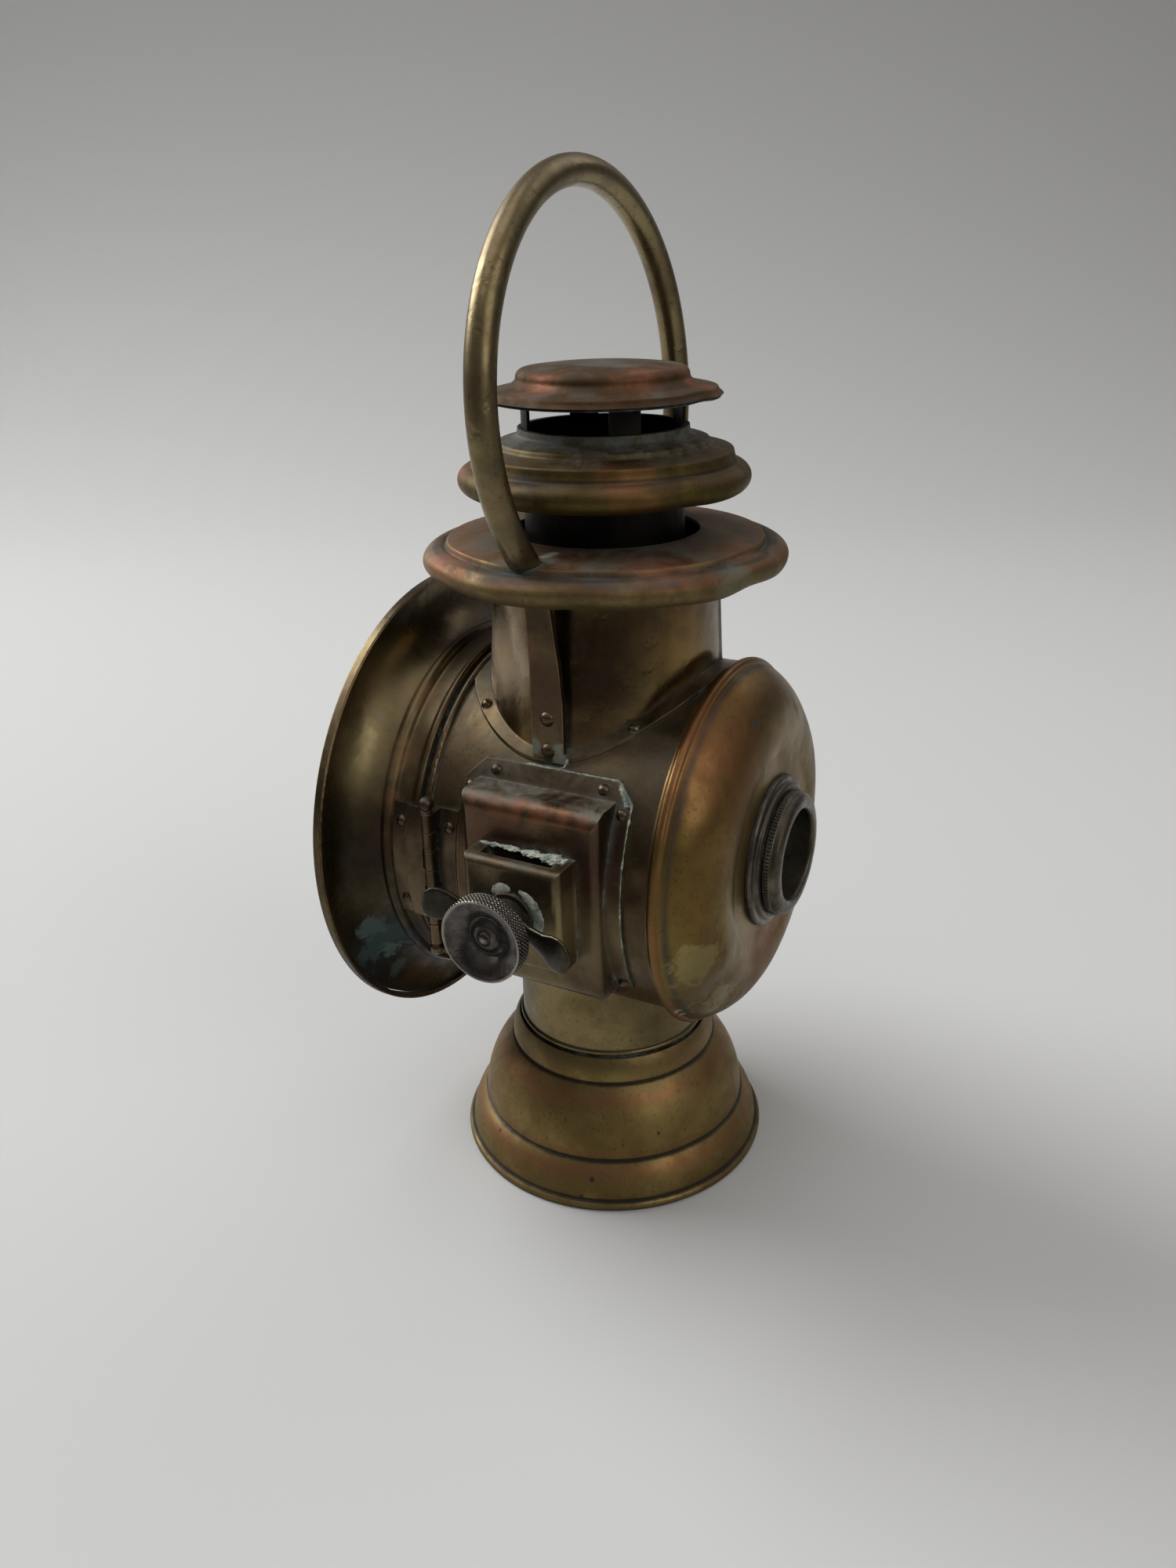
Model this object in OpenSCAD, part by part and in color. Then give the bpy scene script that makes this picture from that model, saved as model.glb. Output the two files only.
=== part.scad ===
// Vintage oil-burning side lamp of a car, in spun and folded brass.
// Frame: +Z up, origin under the middle of the foot, door towards -Y, bracket towards +X.

/* [Sheet and fits] */
// Thickness of the spun brass sheet
sheet = 1; // [0.8:0.05:1.3]
// Gap between pieces that are soldered or seated together
seat_gap = 0.05; // [0.02:0.01:0.1]
// Gap between pieces that move past each other
run_gap = 0.4; // [0.3:0.05:0.6]
// Radial clearance of a pin in its bore
pin_gap = 0.05; // [0.02:0.01:0.09]
// Radius of a rivet or screw head
head_r = 1.7; // [1.2:0.1:2.2]
// Height of a rivet or screw head
head_h = 1.1; // [0.7:0.1:1.5]

/* [Foot] */
// Outside radius of the foot's wired rim
foot_r = 50; // [47:0.5:56]
// Radius of the wire rolled into the rim
rim_wire_r = 1.6; // [1.2:0.1:2]
// Depth of the flat that the rim stands on
foot_flat = 0.3; // [0.2:0.05:0.5]
// Radius at the groove between the foot's two bands
foot_band_r = 43.1; // [40:0.1:45]
// Height of that groove
foot_band_z = 14.4; // [12:0.1:17]
// Radius at the groove under the foot's top ring
foot_top_r = 33.4; // [33:0.1:36]
// Height of that groove
foot_top_z = 36.3; // [34:0.1:39]
// Height of the lip of the top ring
foot_lip_z = 44; // [42:0.5:48]
// Thickness of the plate that closes the foot
foot_plate_t = 1; // [0.8:0.1:1.5]

/* [Font and burner] */
// Outside radius of the oil font
font_r = 27.4; // [25:0.1:27.6]
// Height of the font's flat top
font_top_z = 56; // [52:0.5:60]
// Radius of the font's burner neck
burner_neck_r = 13; // [12:0.5:14]
// Height of the burner neck above the font
burner_neck_h = 6; // [5:0.5:8]
// Thickness of the burner's screwed ring
burner_ring_t = 2.5; // [2:0.1:3]
// Height of the burner above the font
burner_h = 15; // [14:0.5:18]
// Radius of the filler cap
filler_r = 4.2; // [3.6:0.1:4.3]
// Height of the filler cap
filler_h = 4; // [3:0.5:6]
// Width of the wick
wick_w = 12.6; // [11:0.1:14]
// Thickness of the wick
wick_t = 2; // [1.6:0.1:2.4]
// Height of the tip of the wick
wick_tip_z = 96; // [92:0.5:100]
// Length of wick above its tube
wick_out = 2.5; // [1:0.5:4]
// Height of the foot of the wick in the font
wick_foot_z = 14; // [10:1:20]
// Radius of the winder shaft
winder_r = 1; // [0.8:0.1:1.2]
// Radius of the star wheels that grip the wick
star_r = 3.2; // [2.8:0.1:3.5]
// Distance of the winder knob's face from the lamp's axis
winder_reach = 24.5; // [22:0.5:25]
// Radius of the winder knob
winder_knob_r = 4.5; // [4:0.1:5]
// Thickness of the winder knob
winder_knob_t = 3.5; // [2.5:0.5:4]

/* [Body] */
// Height of the body's axis
axis_z = 113; // [108:0.5:118]
// Outside radius of the body drum
drum_r = 52.5; // [51:0.25:55]
// Distance from the lamp's axis to the drum's front edge
drum_front = 34; // [33:0.5:37]
// Distance from the lamp's axis to the drum's rear edge
drum_rear = 40.5; // [40:0.5:44]
// Radius of the bead round the drum's front edge
bead_r = 1.1; // [0.9:0.05:1.3]
// Outside radius of the lower collar
collar_r = 29.6; // [29.4:0.1:30]
// Height of the lower end of the collar
collar_z = 36.6; // [35:0.2:38]
// Radius of the bead that stops the collar on the foot
stop_r = 0.8; // [0.6:0.1:1.2]
// Outside radius of the neck's upper part
neck_r = 32.4; // [31.8:0.1:32.6]
// Height at which the neck begins to flare towards the straps
flare_z = 188; // [184:1:190]
// Angle of that flare
flare_angle = 8.6; // [7:0.1:9]
// Width of the flange round the foot of the neck
saddle_w = 5.2; // [4.8:0.1:5.6]
// Stretch of that flange towards each strap
saddle_shift = 3; // [2:0.1:3.2]
// Thickness of that flange
saddle_t = 0.8; // [0.6:0.1:1]

/* [Rear dome and rear light] */
// Radius of the ridge round the dome's seam
ridge_r = 1.5; // [1.2:0.1:1.8]
// Radius of the dome's flat back
dome_flat_r = 30; // [28:0.5:33]
// Distance from the lamp's axis to the dome's flat back
dome_back = 53.6; // [52:0.1:55]
// Bulge of the dome's shoulder
dome_bulge = 4.6; // [3.5:0.1:5.5]
// Radius of the rear light's flange
light_flange_r = 22.5; // [22:0.1:24]
// Thickness of that flange
light_flange_t = 1.7; // [1.4:0.1:2]
// Radius of the step on that flange
light_step_r = 20.4; // [19.6:0.1:21]
// Outside radius of the screwed boss
boss_r = 16.4; // [16:0.1:16.8]
// Length of the boss behind the dome's back
boss_out = 4.6; // [4:0.1:5]
// Wall of the screwed boss
boss_t = 1.2; // [1:0.05:1.4]
// Wall of the lens cell
cell_t = 1.2; // [1:0.05:1.4]
// Depth of the lens cell behind its knurled ring
cell_depth = 11.5; // [10:0.5:12]
// Thickness of the rear glass
rear_glass_t = 2; // [1.5:0.1:2.5]
// Outside radius of the knurled ring
ring_r = 18.6; // [18.4:0.1:19.4]
// Length of the knurled ring
ring_h = 4.6; // [4:0.1:5.5]
// Thickness of the knurled ring's face
ring_face_t = 1; // [0.8:0.1:1.3]
// Number of knurls on the ring
ring_knurls = 72; // [48:4:96]
// Width of the flat round the reflector's bowl
reflector_rim = 2.9; // [2.5:0.1:4]
// Depth of the reflector's bowl
reflector_depth = 12; // [10:0.5:12]
// Thickness of the reflector
reflector_t = 0.8; // [0.6:0.1:1]

/* [Crown and chimney] */
// Radius of the hole in the crown
crown_hole_r = 26.9; // [26:0.1:28]
// Height of the crown at its hole
crown_hole_z = 203.6; // [202:0.1:205]
// Radius at the groove between the crown's plate and its rolled edge
crown_groove_r = 46; // [44:0.5:48]
// Height of that groove
crown_groove_z = 200.6; // [199:0.1:201]
// Rise of the plate's edge over that groove
crown_step = 1.2; // [0.6:0.1:1.6]
// Half of the width of the crown's rolled edge
crown_roll_r = 5.9; // [5.4:0.1:6.6]
// Half of the height of that edge
crown_roll_h = 4.2; // [3.8:0.1:4.8]
// Outside radius of the chimney tube
chimney_r = 22.6; // [21.5:0.1:23]
// Height of the chimney tube's lower end
chimney_z = 186; // [182:1:190]
// Height of the lip of the deflector ring
deflector_lip_z = 231.8; // [231:0.1:232.4]
// Radius of the deflector's upper step
deflector_step_r = 29.2; // [28:0.1:30.5]
// Radius of the deflector's lower step
deflector_edge_r = 36.2; // [34.5:0.1:37]
// Height of the deflector's lower step
deflector_edge_z = 225.4; // [224.5:0.1:226]
// Height of the wall between that step and the rolled edge
deflector_wall_h = 3.5; // [2.5:0.1:4]
// Half of the width of the deflector's rolled edge
deflector_roll_r = 4.3; // [4:0.1:5]
// Half of the height of that edge
deflector_roll_h = 3.8; // [3.4:0.1:4.2]
// Height of each vent window
window_h = 6.6; // [5:0.2:7]
// Number of posts between the vent windows
post_count = 4; // [3:1:6]
// Width of a post
post_w = 8.4; // [6:0.2:9]
// Turn of the first post from the bracket side
post_turn = 42; // [0:1:90]
// Radius of the cap's lip
cap_lip_r = 32.7; // [31:0.1:34]
// Height of the cap's lip
cap_lip_z = 239.8; // [239.4:0.1:240.2]
// Radius of the step inside the lip
cap_step_r = 31.2; // [29.5:0.1:32.5]
// Height of that step
cap_step_z = 241.6; // [241.2:0.1:241.9]
// Radius at the foot of the cap's raised middle
cap_ledge_r = 27.3; // [26:0.1:28.5]
// Height at the foot of the cap's raised middle
cap_ledge_z = 242.4; // [242.1:0.1:242.8]
// Height at which the raised middle turns over
cap_edge_z = 245.2; // [244.8:0.1:245.6]
// Radius of the shoulder of the raised middle
cap_top_r = 21.4; // [20.6:0.1:21.8]
// Height of the shoulder of the raised middle
cap_top_z = 247; // [246.7:0.1:247.4]
// Height of the middle of the cap
cap_crown_z = 248; // [247.6:0.1:248.8]

/* [Handle and straps] */
// Radius of the hoop at the middle of its tube
hoop_r = 56; // [53:0.5:60]
// Height of the hoop's middle
hoop_z = 239; // [237:0.5:242]
// Radius of the handle's tube
handle_r = 4; // [3.5:0.1:4.5]
// Wall of the handle's tube
handle_wall = 1; // [0.8:0.1:1.4]
// Lean of the hoop towards the door
handle_lean = 3; // [0:0.5:5]
// Place of the handle along the body
handle_y = -1.5; // [-4:0.5:4]
// Place of the straps along the body
strap_y = 2.5; // [0:0.1:4]
// Width of a strap
strap_w = 9.8; // [9:0.1:11]
// Width of a strap at its top end
strap_top_w = 6.7; // [6:0.1:9]
// Height at which a strap begins to narrow
strap_taper_z = 165; // [160:1:172]
// Thickness of a strap
strap_t = 1.6; // [1.2:0.1:2]
// Distance of the upright strap from the neck's upper part
strap_off = 6.9; // [6.6:0.1:7.2]
// Height at which the strap begins to lean out
strap_bend_z = 175; // [170:1:180]
// Distance of the strap's top end from the lamp's axis
strap_top_r = 43; // [42:0.1:44]
// Radius of the strap's rivet heads
strap_head_r = 2.1; // [1.6:0.1:2.4]
// Height of the strap's lower rivet above the drum
strap_rivet_low = 1.5; // [1.2:0.1:2.5]
// Distance between the strap's rivets
strap_rivet_step = 9.3; // [7:0.1:11]

/* [Bracket] */
// Gap between the hinge's body leaf and the box's flange
leaf_clear = 0.45; // [0.3:0.05:1.5]
// Width of the bracket box
box_w = 42.5; // [40:0.5:46]
// Drop of the box's upper flange below the edge of the neck's flange
box_clear = 2.1; // [1.6:0.1:3.5]
// Distance of the box's front face outside the drum
box_out = 4.5; // [3.5:0.1:7]
// Thickness of the box's sheet
box_t = 1.2; // [1:0.1:1.5]
// Radius of the box's upright front edges
box_round = 2.5; // [2:0.1:3]
// Radius of the box's upper and lower front edges
box_brow = 4.6; // [3:0.1:5.5]
// Width of the box's flanges
flange_w = 4.6; // [4.4:0.1:5.2]
// Cut across the corners of the flange
flange_cut = 5; // [3:0.5:6]
// Width of the socket
socket_w = 29.5; // [27:0.5:32]
// Height of the socket
socket_h = 30.5; // [28:0.5:34]
// Depth of the socket's slot
slot_d = 5.2; // [4.8:0.1:6]
// Width of the socket's slot
slot_w = 22; // [20:0.5:24]
// Thickness of the socket's front wall
socket_wall = 3.4; // [3:0.1:4]
// Thickness of the socket's back wall
socket_back = 1.4; // [1.2:0.1:2]
// Radius of the socket's front edges
socket_round = 2.2; // [1.4:0.1:2.6]

/* [Clamp screw] */
// Radius of the clamp screw
screw_r = 3; // [2.5:0.1:3.5]
// Thickness of the washer
washer_t = 1; // [0.8:0.1:1.4]
// Radius of the washer
washer_r = 7; // [6:0.5:8]
// Radius of the wing nut's hub
wing_hub_r = 5.6; // [5:0.1:6]
// Length of the wing nut's hub
wing_hub_h = 4.4; // [4:0.1:5]
// Distance from the screw to a wing's tip
wing_reach = 23; // [21:0.5:24]
// Radius of the wing's round end
wing_end_r = 4.5; // [3.8:0.1:4.8]
// Thickness of a wing
wing_t = 2; // [1.6:0.1:2.4]
// Rise of the wing's end ahead of its root
wing_rise = 4.4; // [2:0.1:5]
// Turn of the wings from level
wing_turn = -10; // [-20:1:20]
// Gap between the hub and the thumb knob
knob_gap = 4.6; // [4.4:0.1:6]
// Radius of the thumb knob
knob_r = 12; // [11:0.1:13]
// Thickness of the thumb knob's knurled edge
knob_edge = 5.6; // [5:0.1:6.5]
// Depth of the dish in the thumb knob's face
knob_dish = 2.6; // [2:0.1:3.2]
// Thickness of metal between the screw's end and the dish
knob_web = 0.8; // [0.6:0.1:1.2]
// Number of knurls on the thumb knob
knob_knurls = 48; // [32:4:64]

/* [Door] */
// Gap between the door and the drum
door_gap = 0.7; // [0.6:0.05:1]
// Step of the door's band outside the drum
door_step = 1.5; // [1.2:0.1:2]
// Length of the band from the drum to the middle of the ridge
door_band = 11; // [10:0.25:12]
// Radius of the half-round ridge
door_ridge_r = 2.2; // [1.8:0.1:2.5]
// Reach of the hood's rim outside the door's band
hood_flare = 17.6; // [15:0.2:20]
// Distance from the lamp's axis to the hood's front
hood_front = 58.6; // [56:0.2:61]
// Width of the hoop round the rim
hoop_w = 3; // [2.4:0.1:3.6]
// Thickness of the hoop round the rim
hoop_t = 1.7; // [1.4:0.1:2]
// Hollow of the hood's flare
flare_hollow = 3.4; // [2.5:0.1:3.6]
// Thickness of the glass at its edge
glass_t = 3; // [2.5:0.1:3.5]
// Bulge of the glass
glass_bulge = 5; // [3:0.25:6]
// Width of the ring that the glass sits on
glass_seat_w = 3; // [2.5:0.1:3.5]
// Thickness of that ring
glass_seat_t = 1.2; // [1:0.1:1.5]
// Thickness of the gasket
gasket_t = 0.8; // [0.6:0.1:1]
// Radius of the retaining ring's wire
retainer_r = 1.2; // [1:0.1:1.4]

/* [Hinge and catch] */
// Radius of the hinge knuckles
knuckle_r = 1.8; // [1.7:0.1:2.1]
// Radius of the hinge pin
pin_r = 1; // [0.9:0.05:1.1]
// Length of one knuckle
knuckle_h = 5.6; // [5:0.1:6]
// Number of knuckles, an odd number
knuckle_count = 7; // [5:2:7]
// Gap between two knuckles
knuckle_gap = 0.3; // [0.3:0.05:0.5]
// Height of the hinge's middle under the body's axis
hinge_drop = 2; // [0:0.5:4]
// Thickness of the hinge's leaves
leaf_t = 0.9; // [0.8:0.1:1.1]
// Width of the body leaf
leaf_w = 5.4; // [4.8:0.1:5.6]
// Lift of the door leaf's middle above the hinge's middle
leaf_lift = 3; // [1:0.5:3.5]
// Distance of the body leaf's screws from the hinge's ends
leaf_screw_in = 5; // [4:0.5:8]
// Distance of the door leaf's screws from the hinge's ends
door_screw_in = 8; // [7:0.5:11]
// Radius of the pin's ball ends
finial_r = 2.2; // [2:0.1:2.6]
// Length of the spring catch on the drum
catch_foot = 8.6; // [7:0.2:10]
// Width of the spring catch
catch_w = 9; // [7:0.5:11]
// Thickness of the spring catch
catch_t = 0.7; // [0.5:0.1:0.9]
// Radius of the ball on the door's pull stud
stud_r = 2.8; // [2.4:0.1:3.2]
// Length of the pull stud's neck
stud_neck = 3; // [2:0.5:4]
// Height of the pull stud above the body's axis
stud_z = 12; // [9:0.5:15]

/* [Hidden] */
$fn = 96;

brass = "#7d6a3f";
dark_brass = "#5b4a30";
copper_brass = "#8a5c3f";
soot = "#2b2926";
nickel = "#77726a";
silvered = "#c9c9c4";
clear_glass = "#b9c6c4";
cotton = "#d8cfb8";
cork = "#8c6b46";

far = 400;
cut = 0.01;
light = sheet * 0.8;
foot_rim_z = rim_wire_r - foot_flat;
foot_lip_r = collar_r + run_gap + sheet;
font_z = foot_plate_t + seat_gap;
font_shoulder = 3;
neck_top_z = font_top_z + burner_neck_h;
burner_z = font_top_z + seat_gap;
burner_top_z = font_top_z + burner_h;
burner_r = burner_neck_r + seat_gap + burner_ring_t;
tube_wall = 0.8;
tube_x = wick_t / 2 + run_gap;
tube_y = wick_w / 2 + run_gap;
winder_x = wick_t / 2 + seat_gap + star_r;
winder_z = font_top_z + burner_h * 0.62;
star_y = wick_w / 4;
star_t = 1.6;
star_teeth = 10;

seam_y = drum_rear;
dome_r = drum_r + seat_gap + sheet;
light_y = dome_back + seat_gap;
boss_end = light_y + light_flange_t + boss_out;
cell_r = boss_r - boss_t - run_gap;
ring_y = boss_end - ring_h + ring_face_t + 2 * run_gap;
ring_face_y = ring_y + ring_h - ring_face_t;
light_step_t = ring_y - run_gap - light_y - light_flange_t;
cell_y = ring_face_y - seat_gap - cell_depth;
boss_y = cell_y + light;
reflector_y = seam_y - 5;
reflector_r = drum_r - reflector_rim;

crown_roll_z = crown_groove_z - crown_roll_h;
crown_roll_at = crown_groove_r - crown_roll_r * 0.012;
deflector_lip_r = chimney_r + seat_gap + sheet;
deflector_roll_z = deflector_edge_z - deflector_wall_h - deflector_roll_h;
window_z = deflector_lip_z;
cap_wall_r = chimney_r + seat_gap + sheet;
chimney_top_z = cap_edge_z - run_gap;
saddle_reach = neck_r + saddle_w + saddle_shift;
flare_ease = 0.2;
neck_seat_z = plate_top(neck_r) - sheet - seat_gap;

saddle_y = [-drum_front + 2 * bead_r + seat_gap, seam_y - 2 * ridge_r - seat_gap];

box_front = drum_r + box_out;
box_edge_z = sqrt(pow(drum_r + seat_gap + box_t, 2) - pow(saddle_reach, 2)) - box_clear;
box_h = 2 * (box_edge_z - flange_w);
strap_x = neck_r + strap_off;
socket_front = box_front + seat_gap + socket_back + slot_d + socket_wall;
washer_x = socket_front + seat_gap;
wing_x = washer_x + washer_t + seat_gap;
knob_x = wing_x + wing_hub_h + knob_gap;
screw_tip = socket_front - socket_wall;
screw_end = knob_x + knob_edge - knob_dish - knob_web;

door_r = drum_r + door_step;
hood_r = door_r + hood_flare;
door_y = -drum_front - door_gap;
ridge_y = -drum_front - door_band;
neck_y = ridge_y - door_ridge_r;
hood_y = -hood_front;
glass_r = door_r - sheet - seat_gap;
glass_seat_y = neck_y - glass_seat_t;
gasket_y = neck_y + seat_gap;
glass_y = gasket_y + gasket_t + seat_gap;
retainer_y = glass_y + glass_t + seat_gap + retainer_r;
drum_bead_at = drum_r + bead_r * 0.2;
door_bead_at = door_r - bead_r * 0.2;
hinge_x = door_bead_at + bead_r + seat_gap;
hinge_y = -drum_front + 2 * bead_r + run_gap + knuckle_r;
hinge_z = axis_z - hinge_drop;
hinge_h = knuckle_count * knuckle_h + (knuckle_count - 1) * knuckle_gap;
leaf_y = hinge_y + knuckle_r + run_gap;
bracket_y = leaf_y + leaf_w + leaf_clear + flange_w + box_w / 2;
screw_y = bracket_y;
screw_z = axis_z;
catch_y = -drum_front + 2 * bead_r + seat_gap;
door_leaf_y = [ridge_y + door_ridge_r + seat_gap, door_y - 2 * bead_r - seat_gap];
catch_out = door_bead_at + bead_r + run_gap;

// Unit vector along v
function unit(v) = v / norm(v);
// A list from its end to its start
function backward(list) = [for (i = [len(list) - 1 : -1 : 0]) list[i]];
// An arc from p towards q that bows by h to the right of the way, without its last point
function bow(p, q, h, n = 8) =
    let (
        d = norm(q - p),
        u = unit(q - p),
        v = [u.y, -u.x],
        r = (d * d / 4 + h * h) / (2 * h),
        half = asin(d / 2 / r),
        c = (p + q) / 2 + v * (h - r)
    )
    [for (i = [0 : n - 1]) let (a = half * (2 * i / n - 1)) c + r * (v * cos(a) + u * sin(a))];
// An arc round c from angle a0 to a1
function arc(c, r, a0, a1, n = 10) =
    [for (i = [0 : n]) let (a = a0 + (a1 - a0) * i / n) c + r * [cos(a), sin(a)]];
// An oval arc round c, of half width a and half height b, from angle a0 to a1
function oval(c, a, b, a0, a1, n = 14) =
    [for (i = [0 : n]) let (t = a0 + (a1 - a0) * i / n) c + [a * cos(t), b * sin(t)]];
// The path moved sideways by t, to the right of the way it runs
function beside(path, t) = [
    for (i = [0 : len(path) - 1])
        let (
            d0 = unit(i == 0 ? path[1] - path[0] : path[i] - path[i - 1]),
            d1 = i == len(path) - 1 ? d0 : unit(path[i + 1] - path[i]),
            s = [d0.y + d1.y, -d0.x - d1.x]
        )
        path[i] + s * (2 * t / (s * s))
];
// Height of the top of the crown's plate at radius r
function plate_top(r) = crown_hole_z
    + (crown_groove_z + crown_step - crown_hole_z) * (r - crown_hole_r) / (crown_groove_r - crown_hole_r);
// Outline of a knurled edge of n rounded teeth, h high
function knurl(r, n, h) =
    [for (i = [0 : 2 * n - 1]) (r - (i % 2) * h) * [cos(180 * i / n), sin(180 * i / n)]];

// A turned sheet whose outside follows the path
module spun(path, wall) {
    rotate_extrude() polygon(concat(path, backward(beside(path, -wall))));
}

// A tube from z = 0 up to h
module tube(r_out, r_in, h) {
    difference() {
        cylinder(r = r_out, h = h);
        translate([0, 0, -1]) cylinder(r = r_in, h = h + 2);
    }
}

// A solid ring of round wire
module wire_ring(r, wire) {
    rotate_extrude() translate([r, 0]) circle(wire);
}

// Turns +Z to +Y, about the body's axis
module along_body() {
    translate([0, 0, axis_z]) rotate([-90, 0, 0]) children();
}

// A piece of tube round the body's axis, from y[0] to y[1] and z[0] to z[1], on one side of the lamp
module drum_patch(r_out, r_in, y, z, side = 1) {
    intersection() {
        along_body() translate([0, 0, y[0]]) tube(r_out, r_in, y[1] - y[0]);
        translate([side > 0 ? 0 : -far, -far / 2, axis_z + z[0]]) cube([far, far, z[1] - z[0]]);
    }
}

// A domed head standing on z = 0
module dome_head(r = head_r, h = head_h) {
    ball = (r * r + h * h) / (2 * h);
    difference() {
        translate([0, 0, h - ball]) sphere(ball);
        translate([-far / 2, -far / 2, -far]) cube(far);
    }
}

// A head on a surface of radius r round the body's axis, at an angle above level
module head_on_drum(r, angle, y, side = 1) {
    translate([0, y, axis_z])
        rotate([0, side > 0 ? -angle : angle - 180, 0])
            translate([r + seat_gap, 0, 0])
                rotate([0, 90, 0])
                    dome_head();
}

// Foot, font and burner

module foot_bell() {
    path = concat(
        bow([foot_r - sheet, foot_rim_z], [foot_band_r, foot_band_z], 1.5),
        bow([foot_band_r, foot_band_z], [foot_top_r, foot_top_z], 2.3),
        bow([foot_top_r, foot_top_z], [foot_lip_r, foot_lip_z], 0.6),
        [[foot_lip_r, foot_lip_z]]
    );
    color(brass)
        difference() {
            union() {
                spun(path, sheet);
                translate([0, 0, foot_rim_z]) wire_ring(foot_r - rim_wire_r, rim_wire_r);
            }
            translate([-far / 2, -far / 2, -far]) cube(far);
        }
}

module foot_plate() {
    color(dark_brass)
        cylinder(r = foot_r - 2 * rim_wire_r - seat_gap, h = foot_plate_t);
}

module oil_font() {
    path = concat(
        [[0, font_z], [font_r, font_z]],
        bow([font_r, font_top_z - font_shoulder], [font_r - font_shoulder, font_top_z], 0.8),
        [[font_r - font_shoulder, font_top_z], [burner_neck_r, font_top_z], [burner_neck_r, neck_top_z]]
    );
    color(dark_brass) spun(path, light);
}

module filler_cap() {
    color(brass)
        translate([0, (font_r - font_shoulder + burner_r) / 2, font_top_z + seat_gap])
            linear_extrude(filler_h) polygon(knurl(filler_r, 24, 0.25));
}

module burner() {
    inner_r = burner_neck_r + seat_gap;
    lip = burner_r - burner_ring_t / 2;
    path = concat(
        [[burner_r, burner_z], [burner_r, neck_top_z]],
        [[lip, neck_top_z + 1]],
        bow([lip, burner_top_z - 5], [burner_neck_r - 3, burner_top_z], 1.2),
        [[burner_neck_r - 3, burner_top_z], [0, burner_top_z]]
    );
    inside = [
        [0, burner_top_z - light], [burner_neck_r - 4, burner_top_z - light],
        [inner_r, burner_top_z - 6], [inner_r, burner_z]
    ];
    color(brass)
        difference() {
            rotate_extrude() polygon(concat(path, inside));
            translate([-tube_x - tube_wall - seat_gap, -tube_y - tube_wall - seat_gap, neck_top_z])
                cube([2 * (tube_x + tube_wall + seat_gap), 2 * (tube_y + tube_wall + seat_gap), burner_h]);
            translate([winder_x, 0, winder_z])
                rotate([90, 0, 0])
                    cylinder(r = winder_r + pin_gap, h = far, center = true);
        }
}

module wick_tube() {
    bottom = neck_top_z + 1;
    top = wick_tip_z - wick_out;
    slot_h = 2 * star_r + 2 * run_gap;
    color(brass)
        difference() {
            translate([-tube_x - tube_wall, -tube_y - tube_wall, bottom])
                cube([2 * (tube_x + tube_wall), 2 * (tube_y + tube_wall), top - bottom]);
            translate([-tube_x, -tube_y, bottom - 1])
                cube([2 * tube_x, 2 * tube_y, top - bottom + 2]);
            for (s = [-1, 1])
                translate([0, s * star_y - star_t / 2 - run_gap, winder_z - slot_h / 2])
                    cube([far, star_t + 2 * run_gap, slot_h]);
            translate([winder_x, 0, winder_z])
                rotate([90, 0, 0])
                    cylinder(r = winder_r + run_gap, h = far, center = true);
        }
}

module wick() {
    color(cotton)
        translate([-wick_t / 2, -wick_w / 2, wick_foot_z])
            cube([wick_t, wick_w, wick_tip_z - wick_foot_z]);
}

module winder_shaft() {
    inner_end = burner_r + 1;
    shaft_l = inner_end + winder_reach - winder_knob_t - seat_gap;
    star = [
        for (i = [0 : 2 * star_teeth - 1])
            (star_r - (i % 2) * 1.1) * [cos(180 * i / star_teeth), sin(180 * i / star_teeth)]
    ];
    color(nickel)
        translate([winder_x, inner_end, winder_z])
            rotate([90, 0, 0]) {
                cylinder(r = winder_r, h = shaft_l);
                for (s = [-1, 1])
                    translate([0, 0, inner_end + s * star_y - star_t / 2])
                        linear_extrude(star_t) polygon(star);
            }
}

module winder_knob() {
    color(nickel)
        translate([winder_x, -winder_reach + winder_knob_t, winder_z])
            rotate([90, 0, 0])
                linear_extrude(winder_knob_t) polygon(knurl(winder_knob_r, 24, 0.25));
}

// Body, neck and rear light

module lower_collar() {
    color(brass)
        difference() {
            union() {
                translate([0, 0, collar_z]) tube(collar_r, collar_r - sheet, axis_z - collar_z);
                difference() {
                    translate([0, 0, foot_lip_z + run_gap + stop_r]) wire_ring(collar_r, stop_r);
                    cylinder(r = collar_r - sheet / 2, h = far);
                }
            }
            along_body() cylinder(r = drum_r + seat_gap, h = far, center = true);
        }
}

module body_drum() {
    color(brass)
        difference() {
            along_body() {
                translate([0, 0, -drum_front]) tube(drum_r, drum_r - sheet, drum_front + drum_rear);
                difference() {
                    translate([0, 0, -drum_front + bead_r]) wire_ring(drum_bead_at, bead_r);
                    cylinder(r = drum_r - sheet / 2, h = far, center = true);
                }
            }
            translate([0, 0, axis_z]) cylinder(r = neck_r - sheet, h = far);
            translate([0, 0, axis_z - far]) cylinder(r = collar_r - sheet, h = far);
        }
}

module rear_dome() {
    path = concat(
        [[dome_r, seam_y - 2 * ridge_r]],
        bow([dome_r, seam_y + ridge_r], [dome_flat_r, dome_back], dome_bulge, 12),
        [[dome_flat_r, dome_back], [boss_r + seat_gap, dome_back]]
    );
    color(copper_brass)
        along_body() {
            spun(path, sheet);
            difference() {
                translate([0, 0, seam_y - ridge_r / 2]) wire_ring(dome_r, ridge_r);
                cylinder(r = dome_r - sheet / 2, h = far, center = true);
            }
        }
}

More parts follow.
